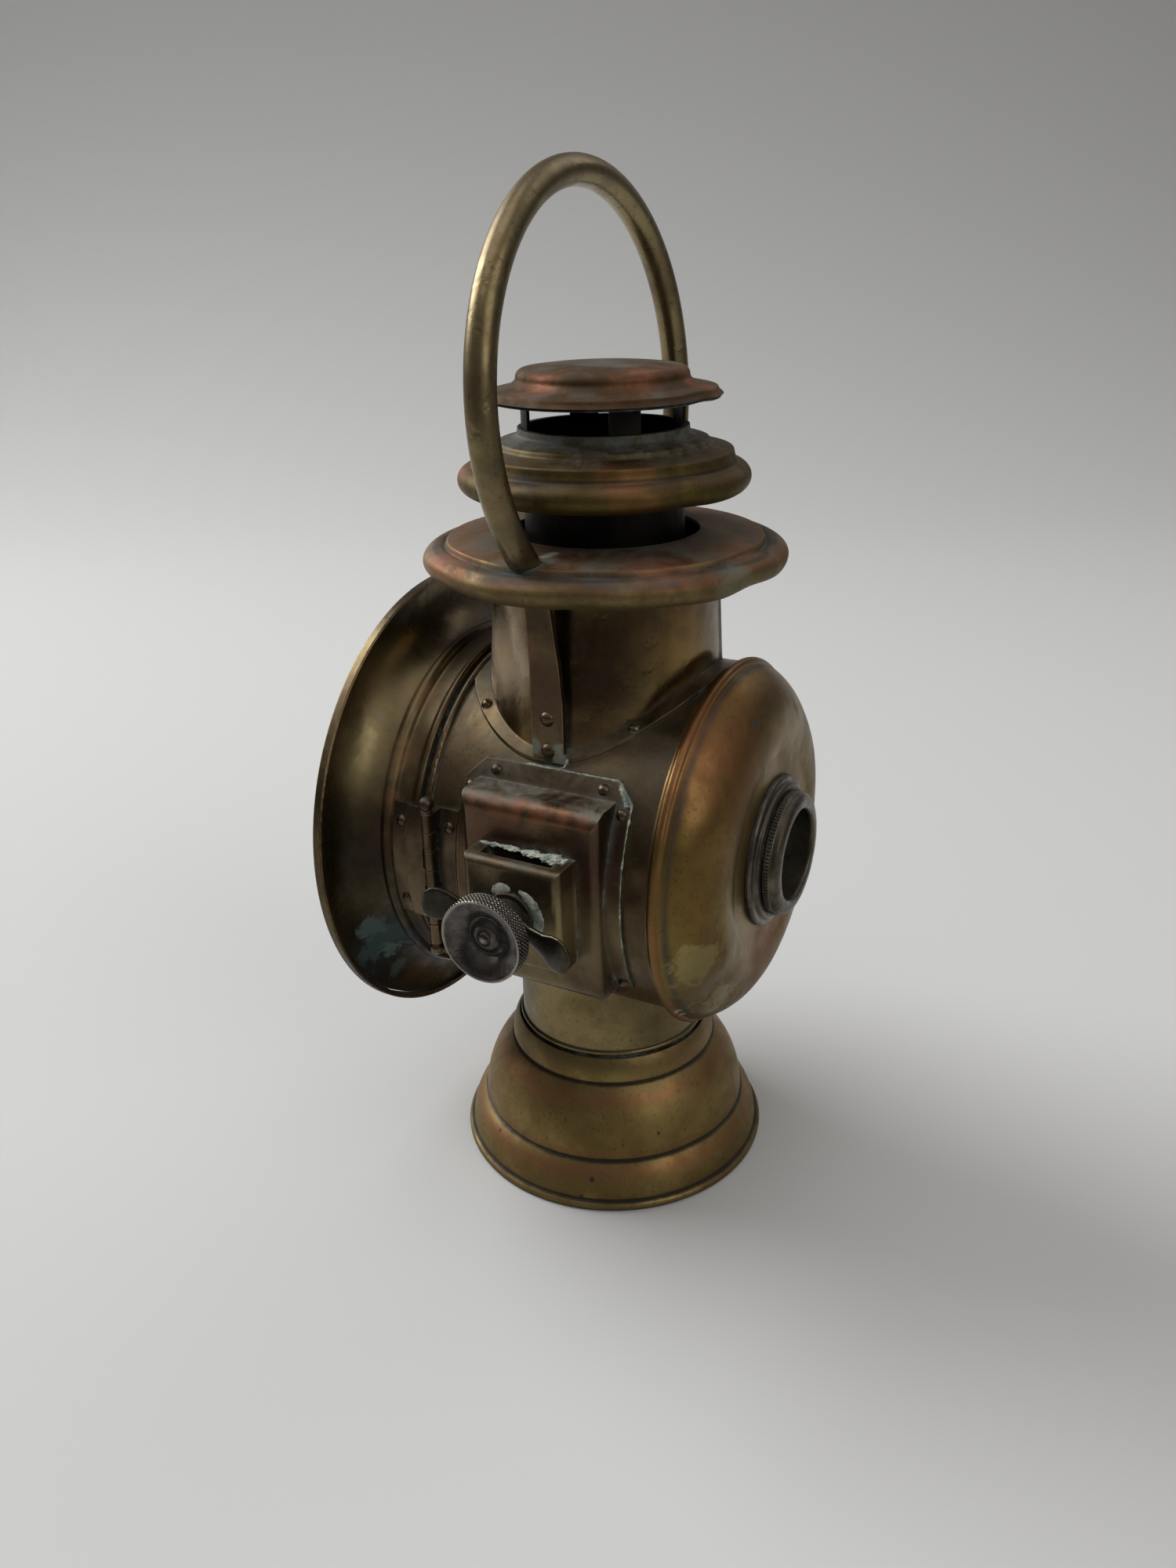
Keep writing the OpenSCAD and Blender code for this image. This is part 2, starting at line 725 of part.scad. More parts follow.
module reflector() {
    edge_r = drum_r - sheet - seat_gap;
    path = concat(
        [[edge_r, reflector_y - 3], [edge_r, reflector_y]],
        bow([reflector_r, reflector_y + 1], [boss_r + 1, reflector_y + reflector_depth], 3.4, 12),
        [[boss_r + 1, reflector_y + reflector_depth]]
    );
    color(silvered) along_body() spun(path, reflector_t);
}

module light_socket() {
    color(soot)
        along_body()
            difference() {
                union() {
                    translate([0, 0, boss_y]) cylinder(r = boss_r, h = boss_end - boss_y);
                    translate([0, 0, light_y]) cylinder(r = light_flange_r, h = light_flange_t);
                    translate([0, 0, light_y]) cylinder(r = light_step_r, h = light_flange_t + light_step_t);
                }
                cylinder(r = boss_r - boss_t, h = far);
            }
}

module lens_cell() {
    color(nickel)
        along_body()
            translate([0, 0, cell_y]) {
                tube(cell_r, cell_r - cell_t, cell_depth);
                tube(cell_r, cell_r - 2 * cell_t, light);
            }
}

module rear_glass() {
    color(clear_glass)
        along_body()
            translate([0, 0, cell_y + light + seat_gap])
                cylinder(r = cell_r - cell_t - seat_gap, h = rear_glass_t);
}

module knurled_ring() {
    color(nickel)
        along_body()
            translate([0, 0, ring_y])
                difference() {
                    union() {
                        linear_extrude(ring_h - ring_face_t) polygon(knurl(ring_r, ring_knurls, 0.35));
                        translate([0, 0, ring_h - ring_face_t - cut])
                            cylinder(r1 = ring_r - 0.35, r2 = ring_r - 1, h = ring_face_t + cut);
                    }
                    translate([0, 0, -1]) cylinder(r = boss_r + run_gap, h = ring_h - ring_face_t + 1);
                    translate([0, 0, -1]) cylinder(r = cell_r - cell_t, h = ring_h + 2);
                }
}

// The neck as a solid of radius r, flared towards both straps
module neck_block(r, top = 0) {
    translate([0, 0, axis_z]) cylinder(r = r, h = neck_seat_z + top - axis_z);
    for (s = [-1, 1])
        translate([0, 0, flare_z])
            rotate([0, s * flare_angle, 0])
                translate([0, 0, axis_z - flare_z])
                    cylinder(r = r - flare_ease, h = flare_z - axis_z);
}

module neck_tube() {
    color(brass)
        difference() {
            neck_block(neck_r);
            neck_block(neck_r - sheet, 1);
            along_body() {
                cylinder(r = drum_r + seat_gap, h = far, center = true);
                translate([0, 0, -drum_front + bead_r]) wire_ring(drum_bead_at, bead_r + seat_gap);
            }
        }
}

module neck_saddle() {
    edge_r = neck_r + saddle_w;
    color(brass)
        difference() {
            intersection() {
                along_body()
                    translate([0, 0, saddle_y[0]])
                        tube(drum_r + seat_gap + saddle_t, drum_r + seat_gap, saddle_y[1] - saddle_y[0]);
                translate([0, 0, axis_z]) {
                    for (s = [-1, 1])
                        translate([s * saddle_shift, 0, 0]) cylinder(r = edge_r, h = far);
                    translate([-saddle_shift, -edge_r, 0]) cube([2 * saddle_shift, 2 * edge_r, far]);
                }
            }
            neck_block(neck_r + seat_gap);
        }
}

module saddle_rivets() {
    at = neck_r + saddle_w / 2;
    on_saddle = drum_r + seat_gap + saddle_t;
    color(brass)
        for (turn = [-138, -42, 42, 138]) {
            x = abs(at * cos(turn));
            lean = (flare_z - axis_z - sqrt(on_saddle * on_saddle - x * x)) * tan(flare_angle);
            head_on_drum(on_saddle, acos((x + lean) / on_saddle), at * sin(turn), cos(turn));
        }
}

module crown() {
    path = concat(
        oval([crown_roll_at, crown_roll_z], crown_roll_r, crown_roll_h, -100, 84, 16),
        [[crown_groove_r - 0.6, crown_groove_z - 0.5]],
        [[crown_groove_r - 1.2, plate_top(crown_groove_r - 1.2)]],
        [[crown_hole_r, crown_hole_z]]
    );
    color(copper_brass) spun(path, sheet);
}

// A strap on the +X side: upright from the drum, riveted to the flared neck, top end under the crown
module strap() {
    on_saddle = drum_r + 2 * seat_gap + saddle_t;
    top_z = plate_top(strap_top_r) - sheet - seat_gap;
    bar = [
        [strap_x, axis_z], [strap_x, strap_bend_z], [strap_top_r - strap_t, top_z],
        [strap_top_r, top_z], [strap_x + strap_t, strap_bend_z], [strap_x + strap_t, axis_z]
    ];
    front = [
        [-strap_w / 2, 0], [strap_w / 2, 0], [strap_w / 2, strap_taper_z],
        [strap_top_w - strap_w / 2, top_z], [-strap_w / 2, top_z]
    ];
    difference() {
        union() {
            intersection() {
                translate([0, strap_y + strap_w / 2, 0])
                    rotate([90, 0, 0])
                        linear_extrude(strap_w) polygon(bar);
                translate([0, strap_y, 0]) rotate([90, 0, 90]) linear_extrude(far) polygon(front);
            }
            for (z = strap_rivet_z())
                translate([neck_r, strap_y, z])
                    rotate([0, 90, 0])
                        cylinder(r = strap_head_r, h = strap_x + cut - neck_r);
        }
        neck_block(neck_r + seat_gap);
        along_body() cylinder(r = on_saddle, h = far, center = true);
    }
}

// Heights of a strap's two rivets
function strap_rivet_z() =
    let (foot = axis_z + sqrt(pow(drum_r + saddle_t, 2) - pow(strap_x, 2)))
    [foot + strap_rivet_low, foot + strap_rivet_low + strap_rivet_step];

module strap_near() {
    color(brass) strap();
}

module strap_far() {
    color(brass) mirror([1, 0, 0]) strap();
}

module strap_rivets() {
    color(brass)
        for (side = [-1, 1])
            for (z = strap_rivet_z())
                translate([side * (strap_x + strap_t + seat_gap), strap_y, z])
                    rotate([0, side * 90, 0])
                        dome_head(strap_head_r);
}

module chimney_tube() {
    color(soot)
        difference() {
            translate([0, 0, chimney_z]) tube(chimney_r, chimney_r - light, chimney_top_z - chimney_z);
            difference() {
                translate([0, 0, window_z]) cylinder(r = far, h = window_h);
                for (i = [0 : post_count - 1])
                    rotate([0, 0, post_turn + 360 * i / post_count])
                        translate([0, -post_w / 2, window_z - 1])
                            cube([far, post_w, window_h + 2]);
            }
        }
}

module chimney_brackets() {
    bracket_w = 6;
    z = chimney_z + 2;
    color(soot)
        for (i = [0 : 2])
            rotate([0, 0, 90 + 120 * i])
                intersection() {
                    translate([0, -bracket_w / 2, z]) cube([far, bracket_w, 1.2]);
                    translate([0, 0, z - 1]) tube(neck_r - sheet - seat_gap, chimney_r + seat_gap, 4);
                }
}

module deflector_ring() {
    path = concat(
        oval([deflector_edge_r + 0.3, deflector_roll_z], deflector_roll_r, deflector_roll_h, -100, 84),
        [[deflector_edge_r, deflector_edge_z - 1.8], [deflector_edge_r - 0.4, deflector_edge_z]],
        [[deflector_step_r + 0.5, deflector_edge_z + 1.4], [deflector_step_r, deflector_edge_z + 2.8]],
        [[deflector_lip_r + 1.5, deflector_edge_z + 3.8], [deflector_lip_r + 0.3, deflector_edge_z + 4.5]],
        [[deflector_lip_r, deflector_lip_z]]
    );
    color(copper_brass)
        difference() {
            spun(path, sheet);
            cylinder(r = chimney_r + seat_gap, h = far);
        }
}

module chimney_cap() {
    path = concat(
        [[cap_lip_r, cap_lip_z], [cap_step_r + 0.4, cap_step_z - 0.9], [cap_step_r, cap_step_z]],
        bow([cap_ledge_r, cap_ledge_z], [cap_wall_r, cap_edge_z - 0.8], -0.5, 6),
        [[cap_wall_r, cap_edge_z - 0.8]],
        bow([cap_wall_r, cap_edge_z], [cap_top_r, cap_top_z], 0.5, 6),
        bow([cap_top_r, cap_top_z], [2, cap_crown_z], 0.4, 8),
        [[2, cap_crown_z], [0, cap_crown_z]]
    );
    color(copper_brass) spun(path, sheet);
}

module carry_handle() {
    foot_z = plate_top(crown_groove_r);
    dip = asin((hoop_z - foot_z + handle_r) / hoop_r);
    color(brass)
        difference() {
            translate([0, handle_y, foot_z])
                rotate([handle_lean, 0, 0])
                    translate([0, 0, hoop_z - foot_z])
                        rotate([90, 0, 0])
                            rotate([0, 0, -dip])
                                rotate_extrude(angle = 180 + 2 * dip)
                                    translate([hoop_r, 0])
                                        difference() {
                                            circle(handle_r);
                                            circle(handle_r - handle_wall);
                                        }
            rotate_extrude()
                polygon([
                    [0, 0], [far, 0], [far, plate_top(far) + seat_gap], [0, plate_top(0) + seat_gap]
                ]);
        }
}

// Bracket box, socket and clamp screw

// Block with rounded front edges, from x = 0 to the front, in the middle of the bracket
module bracket_block(front, w, h, r, brow) {
    intersection() {
        translate([0, bracket_y, axis_z - h / 2]) linear_extrude(h) front_outline(front, w, r);
        translate([0, bracket_y + w / 2, axis_z])
            rotate([90, 0, 0])
                linear_extrude(w) front_outline(front, h, brow);
    }
}

// Outline of a block seen along one of its front edges
module front_outline(front, w, r) {
    translate([0, -w / 2]) square([front - r, w]);
    translate([0, r - w / 2]) square([front, w - 2 * r]);
    for (s = [-1, 1])
        translate([front - r, s * (w / 2 - r)]) circle(r);
}

module bracket_box() {
    on_drum = drum_r + seat_gap;
    half_h = box_h / 2 + flange_w;
    half_w = box_w / 2 + flange_w;
    color(brass)
        difference() {
            union() {
                bracket_block(box_front, box_w, box_h, box_round, box_brow);
                intersection() {
                    drum_patch(on_drum + box_t, 0, [bracket_y - half_w, bracket_y + half_w], [-half_h, half_h]);
                    translate([0, bracket_y, axis_z])
                        rotate([0, 90, 0])
                            linear_extrude(far)
                                polygon([
                                    for (s = [[1, 1], [1, -1], [-1, -1], [-1, 1]])
                                        for (k = s.x * s.y > 0 ? [1, 0] : [0, 1])
                                            [
                                                s.x * (half_h - k * flange_cut),
                                                s.y * (half_w - (1 - k) * flange_cut)
                                            ]
                                ]);
                }
            }
            bracket_block(
                box_front - box_t, box_w - 2 * box_t, box_h - 2 * box_t, box_round - box_t, box_brow - box_t
            );
            along_body() cylinder(r = on_drum, h = far, center = true);
        }
}

module box_rivets() {
    on_flange = drum_r + 2 * seat_gap + box_t;
    side_y = box_w / 2 + flange_w / 2;
    top_angle = asin((box_h / 2 + flange_w / 2) / on_flange);
    side_angle = asin((box_h / 2 - 2.5) / on_flange);
    color(brass) {
        for (s = [-1, 1])
            for (e = [-1, 1])
                head_on_drum(on_flange, e * top_angle, bracket_y + s * (box_w / 2 - 4.5));
        for (s = [-1, 1])
            for (e = [-1, 1])
                head_on_drum(on_flange, e * side_angle, bracket_y + s * side_y);
    }
}

module bracket_socket() {
    back = box_front + seat_gap;
    color(brass)
        difference() {
            bracket_block(socket_front, socket_w, socket_h, socket_round, socket_round);
            translate([back - far, -far / 2, 0]) cube([far, far, far]);
            translate([back + socket_back, bracket_y - slot_w / 2, 0]) cube([slot_d, slot_w, far]);
            translate([back + socket_back + slot_d / 2, screw_y, screw_z])
                rotate([0, 90, 0])
                    cylinder(r = screw_r + pin_gap, h = far);
        }
}

// Turns +Z to +X, on the clamp screw's axis
module along_screw(x) {
    translate([x, screw_y, screw_z]) rotate([0, 90, 0]) children();
}

module clamp_washer() {
    color(dark_brass) along_screw(washer_x) tube(washer_r, screw_r + run_gap, washer_t);
}

module wing_nut() {
    color(nickel)
        along_screw(wing_x)
            rotate([0, 0, 90 + wing_turn])
                difference() {
                    union() {
                        cylinder(r1 = wing_hub_r, r2 = wing_hub_r - 0.8, h = wing_hub_h);
                        for (turn = [0, 180]) rotate([0, 0, turn]) wing();
                    }
                    translate([0, 0, -1]) cylinder(r = screw_r + pin_gap, h = wing_hub_h + 2);
                }
}

// One wing: a blade along +X that rises from the hub and ends in a round paddle
module wing() {
    root_z = wing_hub_h / 2;
    tip_at = wing_reach - wing_end_r;
    rise = atan(wing_rise / (tip_at - screw_r));
    waist = [wing_hub_r - screw_r, -wing_hub_r * 0.5];
    translate([screw_r + 1, 0, root_z])
        rotate([0, -rise, 0])
            translate([0, 0, -wing_t / 2])
                linear_extrude(wing_t)
                    polygon(concat(
                        [[0, -wing_hub_r * 0.55]],
                        bow(waist, [tip_at - screw_r - 4, -wing_end_r * 0.7], -0.5, 4),
                        arc([tip_at - screw_r - 1, 0], wing_end_r, -115, 115, 12),
                        bow([tip_at - screw_r - 4, wing_end_r * 0.7], [waist.x, -waist.y], -0.5, 4),
                        [[0, wing_hub_r * 0.55]]
                    ));
}

module clamp_screw() {
    color(nickel)
        along_screw(screw_tip)
            cylinder(r = screw_r, h = screw_end - run_gap - screw_tip);
}

module thumb_knob() {
    boss_r = screw_r + 3.2;
    color(nickel)
        along_screw(knob_x)
            difference() {
                union() {
                    linear_extrude(knob_edge - 0.6) polygon(knurl(knob_r, knob_knurls, 0.4));
                    translate([0, 0, knob_edge - 0.6 - cut])
                        cylinder(r1 = knob_r - 0.4, r2 = knob_r - 0.9, h = 0.6 + cut);
                    translate([0, 0, -1.6]) cylinder(r1 = boss_r, r2 = boss_r + 1.6, h = 1.6 + cut);
                }
                difference() {
                    rotate_extrude() polygon(concat(
                        [[0, knob_edge - knob_dish]],
                        bow([0, knob_edge - knob_dish], [knob_r - 1.8, knob_edge + cut], 0.9, 6),
                        [[knob_r - 1.8, knob_edge + cut], [0, knob_edge + cut]]
                    ));
                    translate([0, 0, knob_edge - knob_dish - 0.2]) dome_head(2.2, 1.7);
                }
                translate([0, 0, -2]) cylinder(r = screw_r + pin_gap, h = 2 + screw_end - knob_x);
            }
}

// Door

module door_hood() {
    flare_start = [hood_r - hoop_t - seat_gap - sheet / 4, hood_y + hoop_w / 2];
    path = concat(
        bow(flare_start, [door_r, neck_y], -flare_hollow, 12),
        [[door_r, neck_y], [door_r, door_y - bead_r]]
    );
    color(brass)
        along_body() {
            spun(path, sheet);
            difference() {
                union() {
                    translate([0, 0, ridge_y]) wire_ring(door_r, door_ridge_r);
                    translate([0, 0, door_y - bead_r]) wire_ring(door_bead_at, bead_r);
                }
                cylinder(r = door_r - sheet / 2, h = far, center = true);
            }
        }
}

module hood_hoop() {
    color(brass)
        along_body()
            rotate_extrude()
                translate([hood_r - hoop_t, hood_y])
                    difference() {
                        square([hoop_t, hoop_w]);
                        for (y = [0, hoop_w])
                            translate([hoop_t, y]) circle(0.4);
                    }
}

module glass_seat() {
    color(brass)
        along_body()
            translate([0, 0, glass_seat_y])
                tube(glass_r, glass_r - glass_seat_w, glass_seat_t);
}

module glass_gasket() {
    color(cork)
        along_body()
            translate([0, 0, gasket_y])
                tube(glass_r, glass_r - glass_seat_w + 0.6, gasket_t);
}

module front_glass() {
    flat_r = glass_r - glass_seat_w - run_gap;
    color(clear_glass)
        along_body()
            rotate_extrude()
                polygon(concat(
                    [[0, glass_y + glass_t]],
                    bow([0, glass_y - glass_bulge], [flat_r, glass_y], 1.2, 10),
                    [[flat_r, glass_y], [glass_r, glass_y], [glass_r, glass_y + glass_t]]
                ));
}

module glass_retainer() {
    color(nickel)
        along_body()
            translate([0, 0, retainer_y])
                wire_ring(glass_r - retainer_r - seat_gap, retainer_r);
}

// Hinge and catch

// The z range of knuckle i, counted from the bottom
function knuckle_z(i) = hinge_z - hinge_h / 2 + i * (knuckle_h + knuckle_gap);

// Barrel of knuckle i
module knuckle(i) {
    translate([hinge_x, hinge_y, knuckle_z(i)]) cylinder(r = knuckle_r, h = knuckle_h);
}

// The z range of knuckle i from the body's axis
function knuckle_span(i) = [knuckle_z(i) - axis_z, knuckle_z(i) + knuckle_h - axis_z];

module pin_bore() {
    translate([hinge_x, hinge_y, 0]) cylinder(r = pin_r + pin_gap, h = far);
}

module hinge_leaf_body() {
    on_drum = drum_r + seat_gap;
    color(brass)
        difference() {
            union() {
                drum_patch(
                    on_drum + leaf_t, on_drum, [leaf_y, leaf_y + leaf_w],
                    [-hinge_drop - hinge_h / 2, -hinge_drop + hinge_h / 2]
                );
                for (i = [0 : 2 : knuckle_count - 1]) {
                    knuckle(i);
                    drum_patch(on_drum + leaf_t, on_drum, [hinge_y, leaf_y + cut], knuckle_span(i));
                    difference() {
                        translate([0, hinge_y, knuckle_z(i)]) cube([hinge_x, knuckle_r, knuckle_h]);
                        along_body() cylinder(r = on_drum, h = far, center = true);
                    }
                }
            }
            pin_bore();
        }
}

// The door leaf: a plate on the door's band, and a strip that passes over both beads to the barrel
module hinge_leaf_door() {
    on_bead = door_bead_at + bead_r + seat_gap;
    on_band = door_r + seat_gap;
    last = knuckle_count - 2;
    z = [knuckle_span(1)[0], knuckle_span(last)[1] + 2 * leaf_lift];
    strip_end = hinge_y - knuckle_r - run_gap;
    color(brass)
        difference() {
            union() {
                drum_patch(on_band + leaf_t, on_band, door_leaf_y, z);
                drum_patch(on_bead + leaf_t, on_band, [door_leaf_y[1] - leaf_t, door_leaf_y[1]], z);
                drum_patch(on_bead + leaf_t, on_bead, [door_leaf_y[1] - leaf_t, strip_end], z);
                for (i = [1 : 2 : last]) {
                    knuckle(i);
                    drum_patch(on_bead + leaf_t, on_bead, [strip_end - cut, hinge_y], knuckle_span(i));
                }
            }
            pin_bore();
        }
}

module hinge_pin() {
    bottom = knuckle_z(0);
    color(brass)
        translate([hinge_x, hinge_y, bottom]) {
            cylinder(r = pin_r, h = hinge_h);
            for (e = [0, 1])
                translate([0, 0, e * hinge_h])
                    mirror([0, 0, 1 - e])
                        translate([0, 0, seat_gap]) {
                            cylinder(r = knuckle_r, h = 0.8);
                            translate([0, 0, 0.8 + finial_r * 0.85]) sphere(finial_r);
                        }
            translate([0, 0, -seat_gap]) cylinder(r = pin_r, h = hinge_h + 2 * seat_gap);
        }
}

module hinge_screws_body() {
    on_leaf = drum_r + 2 * seat_gap + leaf_t;
    at = hinge_h / 2 - leaf_screw_in;
    color(dark_brass)
        for (e = [-1, 1])
            head_on_drum(on_leaf, asin((e * at - hinge_drop) / on_leaf), leaf_y + leaf_w * 0.55);
}

module hinge_screws_door() {
    on_leaf = door_r + 2 * seat_gap + leaf_t;
    mid = (door_leaf_y[0] + door_leaf_y[1]) / 2;
    at = hinge_h / 2 - door_screw_in;
    color(dark_brass)
        for (e = [-1, 1])
            head_on_drum(on_leaf, asin((e * at + leaf_lift - hinge_drop) / on_leaf), mid);
}

module spring_catch() {
    on_drum = drum_r + seat_gap;
    z = [-catch_w / 2, catch_w / 2];
    front = ridge_y + door_ridge_r + 0.6;
    color(brass) {
        drum_patch(on_drum + catch_t, on_drum, [catch_y, catch_y + catch_foot], z, -1);
        drum_patch(catch_out + catch_t, on_drum, [catch_y, catch_y + catch_t], z, -1);
        drum_patch(catch_out + catch_t, catch_out, [front, catch_y + catch_t], z, -1);
    }
}

module catch_rivets() {
    on_catch = drum_r + 2 * seat_gap + catch_t;
    color(brass)
        for (e = [-1, 1])
            head_on_drum(on_catch, e * asin(catch_w / 4 / on_catch), catch_y + catch_foot * 0.6, -1);
}

module pull_stud() {
    y = (door_leaf_y[0] + door_leaf_y[1]) / 2;
    angle = asin(stud_z / door_r);
    color(brass)
        translate([0, y, axis_z])
            rotate([0, angle - 180, 0])
                translate([door_r + seat_gap, 0, 0])
                    rotate([0, 90, 0]) {
                        cylinder(r1 = stud_r * 0.7, r2 = stud_r * 0.45, h = stud_neck);
                        translate([0, 0, stud_neck + stud_r * 0.8]) sphere(stud_r);
                    }
}

foot_bell();
foot_plate();
oil_font();
filler_cap();
burner();
wick_tube();
wick();
winder_shaft();
winder_knob();
lower_collar();
body_drum();
rear_dome();
reflector();
light_socket();
lens_cell();
rear_glass();
knurled_ring();
neck_tube();
neck_saddle();
saddle_rivets();
crown();
strap_near();
strap_far();
strap_rivets();
chimney_tube();
chimney_brackets();
deflector_ring();
chimney_cap();
carry_handle();
bracket_box();
box_rivets();
bracket_socket();
clamp_washer();
wing_nut();
clamp_screw();
thumb_knob();
hinge_leaf_body();
hinge_leaf_door();
hinge_pin();
hinge_screws_body();
hinge_screws_door();
door_hood();
hood_hoop();
glass_seat();
glass_gasket();
front_glass();
glass_retainer();
spring_catch();
catch_rivets();
pull_stud();
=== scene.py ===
"""Looks of an old brass side lamp of a car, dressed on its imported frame."""
import logging
import math
from dataclasses import dataclass, replace
from enum import Enum
from typing import Callable, Sequence, Union

import bmesh
import bpy
import numpy as np
from mathutils import Matrix, Vector


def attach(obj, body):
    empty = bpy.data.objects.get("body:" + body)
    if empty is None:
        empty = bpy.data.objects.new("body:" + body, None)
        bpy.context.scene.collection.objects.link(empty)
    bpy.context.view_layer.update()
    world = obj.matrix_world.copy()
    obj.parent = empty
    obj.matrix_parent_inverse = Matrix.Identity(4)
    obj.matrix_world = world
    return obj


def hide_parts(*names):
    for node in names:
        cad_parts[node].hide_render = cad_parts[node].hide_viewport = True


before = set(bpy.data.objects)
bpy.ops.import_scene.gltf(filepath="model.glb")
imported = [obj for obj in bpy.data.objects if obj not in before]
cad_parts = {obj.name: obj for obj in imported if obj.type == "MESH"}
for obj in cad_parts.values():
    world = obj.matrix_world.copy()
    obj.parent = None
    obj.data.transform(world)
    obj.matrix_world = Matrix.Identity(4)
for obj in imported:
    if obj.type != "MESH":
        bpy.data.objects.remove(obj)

LOG = logging.getLogger("side_lamp")
MM = 0.001
# In mm: height of the axis of body and screw, the screw's place, the gap under the neck, and the sheet's wall
AXIS_Z, SCREW_Y, SEAT, SHEET = 113.0, 4.3, 0.05, 1.0
# A ripple's number of waves, the spread of their lengths, their range of phase and the divisor of their sum
WAVES, WAVE_SPREAD, WAVE_PHASE, WAVE_SUM = 6, (0.7, 1.6), 6.28, 2.4
# Where a blot's edge lies, in its radii, and how far noise pushes it
BLOT_EDGE, BLOT_PUSH = 1.05, 3.0
# Remainders and steps that turn a finish's name into the offset of its patterns
SEED_STEPS = ((97, 0.37), (89, 0.53), (83, 0.71))
# What the layers add to a metal's roughness: its clouds from and to, then corners, dust and salts
ROUGH_FROM, ROUGH_TO, ROUGH_CORNER, ROUGH_DUST, ROUGH_SALT = -0.07, 0.12, 0.25, 0.4, 0.5
# How far dust, corner soiling with its painted shade, and film hide the metal, and how high salts stand in
# the bump
HIDE_DUST, HIDE_GRIME_SHADE, HIDE_FILM, SALT_HEIGHT = 0.75, 0.7, 0.35, 0.25
# Steps round a large and a small turned piece, and the angle past which edges are shaded sharp, in degrees
LARGE_TURN, SMALL_TURN, SHARP = 224, 160, 38.0
# Distances within which points are merged and short edges dissolved, in metres
MERGE, SHORT = 2e-6, 1e-6
X, Y, Z = 0, 1, 2
Array = np.ndarray
Pair = tuple[float, float]
Point = tuple[float, float, float]
Colour = tuple[float, float, float]
Wave = tuple[float, float, int]
Dent = tuple[Point, float, Point]
Dents = tuple[Dent, ...]
Path = tuple[Pair, ...]
Piece = bpy.types.Object
Socket = bpy.types.NodeSocket
Tree = bpy.types.NodeTree
Node = bpy.types.Node
Feed = Union[float, tuple, Socket]


class Turn(Enum):
    """The axis that a turned piece was spun about."""

    UPRIGHT = (0, 0, 1)
    BODY = (0, 1, 0)
    SCREW = (1, 0, 0)


class Port(Enum):
    """What a socket of an effect group carries."""

    COLOUR = "NodeSocketColor"
    VALUE = "NodeSocketFloat"
    VECTOR = "NodeSocketVector"


# Curves and surfaces


def steps(count: int) -> Array:
    """Angles of even steps round a full turn, from 0."""
    return np.linspace(0, 2 * np.pi, count, endpoint=False)


def bow(start: Sequence[float], end: Sequence[float], rise: float, count: int = 40) -> Array:
    """An arc between two points, by its rise over the chord.

    The radius is (d^2/4 + h^2) / 2h for a chord d and a rise h, to the right of the way.

    Args:
        start: First point.
        end: Last point, which is left out.
        rise: Height of the arc over its chord, in mm.
        count: Number of points.

    Returns:
        The points, as count rows of two.
    """
    p, q = np.asarray(start, float), np.asarray(end, float)
    d = np.hypot(*(q - p))
    u = (q - p) / d
    v = np.array([u[1], -u[0]])
    r = (d * d / 4 + rise * rise) / (2 * rise)
    a = math.asin(d / 2 / r) * (2 * np.arange(count) / count - 1)
    return (p + q) / 2 + v * (rise - r) + r * (np.cos(a)[:, None] * v + np.sin(a)[:, None] * u)


def oval(centre: Sequence[float], a: float, b: float, first: float, last: float, count: int = 60) -> Array:
    """Points (a cos t, b sin t) round a centre.

    Args:
        centre: Middle of the oval.
        a: Half of its width.
        b: Half of its height.
        first: Angle at the start, in degrees.
        last: Angle at the end, in degrees.
        count: Number of points.

    Returns:
        The points, as count rows of two.
    """
    t = np.radians(np.linspace(first, last, count))
    return np.asarray(centre, float) + np.stack([a * np.cos(t), b * np.sin(t)], 1)


def even(path: Array, step: float, ease: float) -> Array:
    """The path with even spacing and eased corners.

    The points are spaced evenly along the polyline, then each is the Gaussian mean of its neighbours, which
    rounds a corner over about the given length. The ends stay where they are.

    Args:
        path: Rows of points.
        step: Spacing of the new points, in mm.
        ease: Width of the Gaussian, in mm.

    Returns:
        The new points.
    """
    s = np.r_[0, np.cumsum(np.linalg.norm(np.diff(path, axis=0), axis=1))]
    t = np.linspace(0, s[-1], max(3, int(round(s[-1] / step)) + 1))
    points = np.stack([np.interp(t, s, path[:, k]) for k in range(path.shape[1])], 1)
    reach = int(3 * ease / step)
    if reach < 1:
        return points
    weights = np.exp(-0.5 * (np.arange(-reach, reach + 1) * step / ease) ** 2)
    before = 2 * points[0] - points[reach:0:-1]
    after = 2 * points[-1] - points[-2 : -reach - 2 : -1]
    padded = np.concatenate([before, points, after])
    smooth = [np.convolve(padded[:, k], weights / weights.sum(), "valid") for k in range(path.shape[1])]
    return np.stack(smooth, 1)


def walled(path: Array, wall: float) -> Array:
    """The closed outline of a sheet whose outside follows the path.

    The inside is the path moved by the wall along its normal, to the left of the way.

    Args:
        path: Rows of (radius, height).
        wall: Thickness of the sheet, in mm.

    Returns:
        The outline, without a repeated last point.
    """
    along = np.gradient(path, axis=0)
    along /= np.linalg.norm(along, axis=1)[:, None]
    inside = path + wall * np.stack([-along[:, 1], along[:, 0]], 1)
    return np.concatenate([path, inside[::-1]])


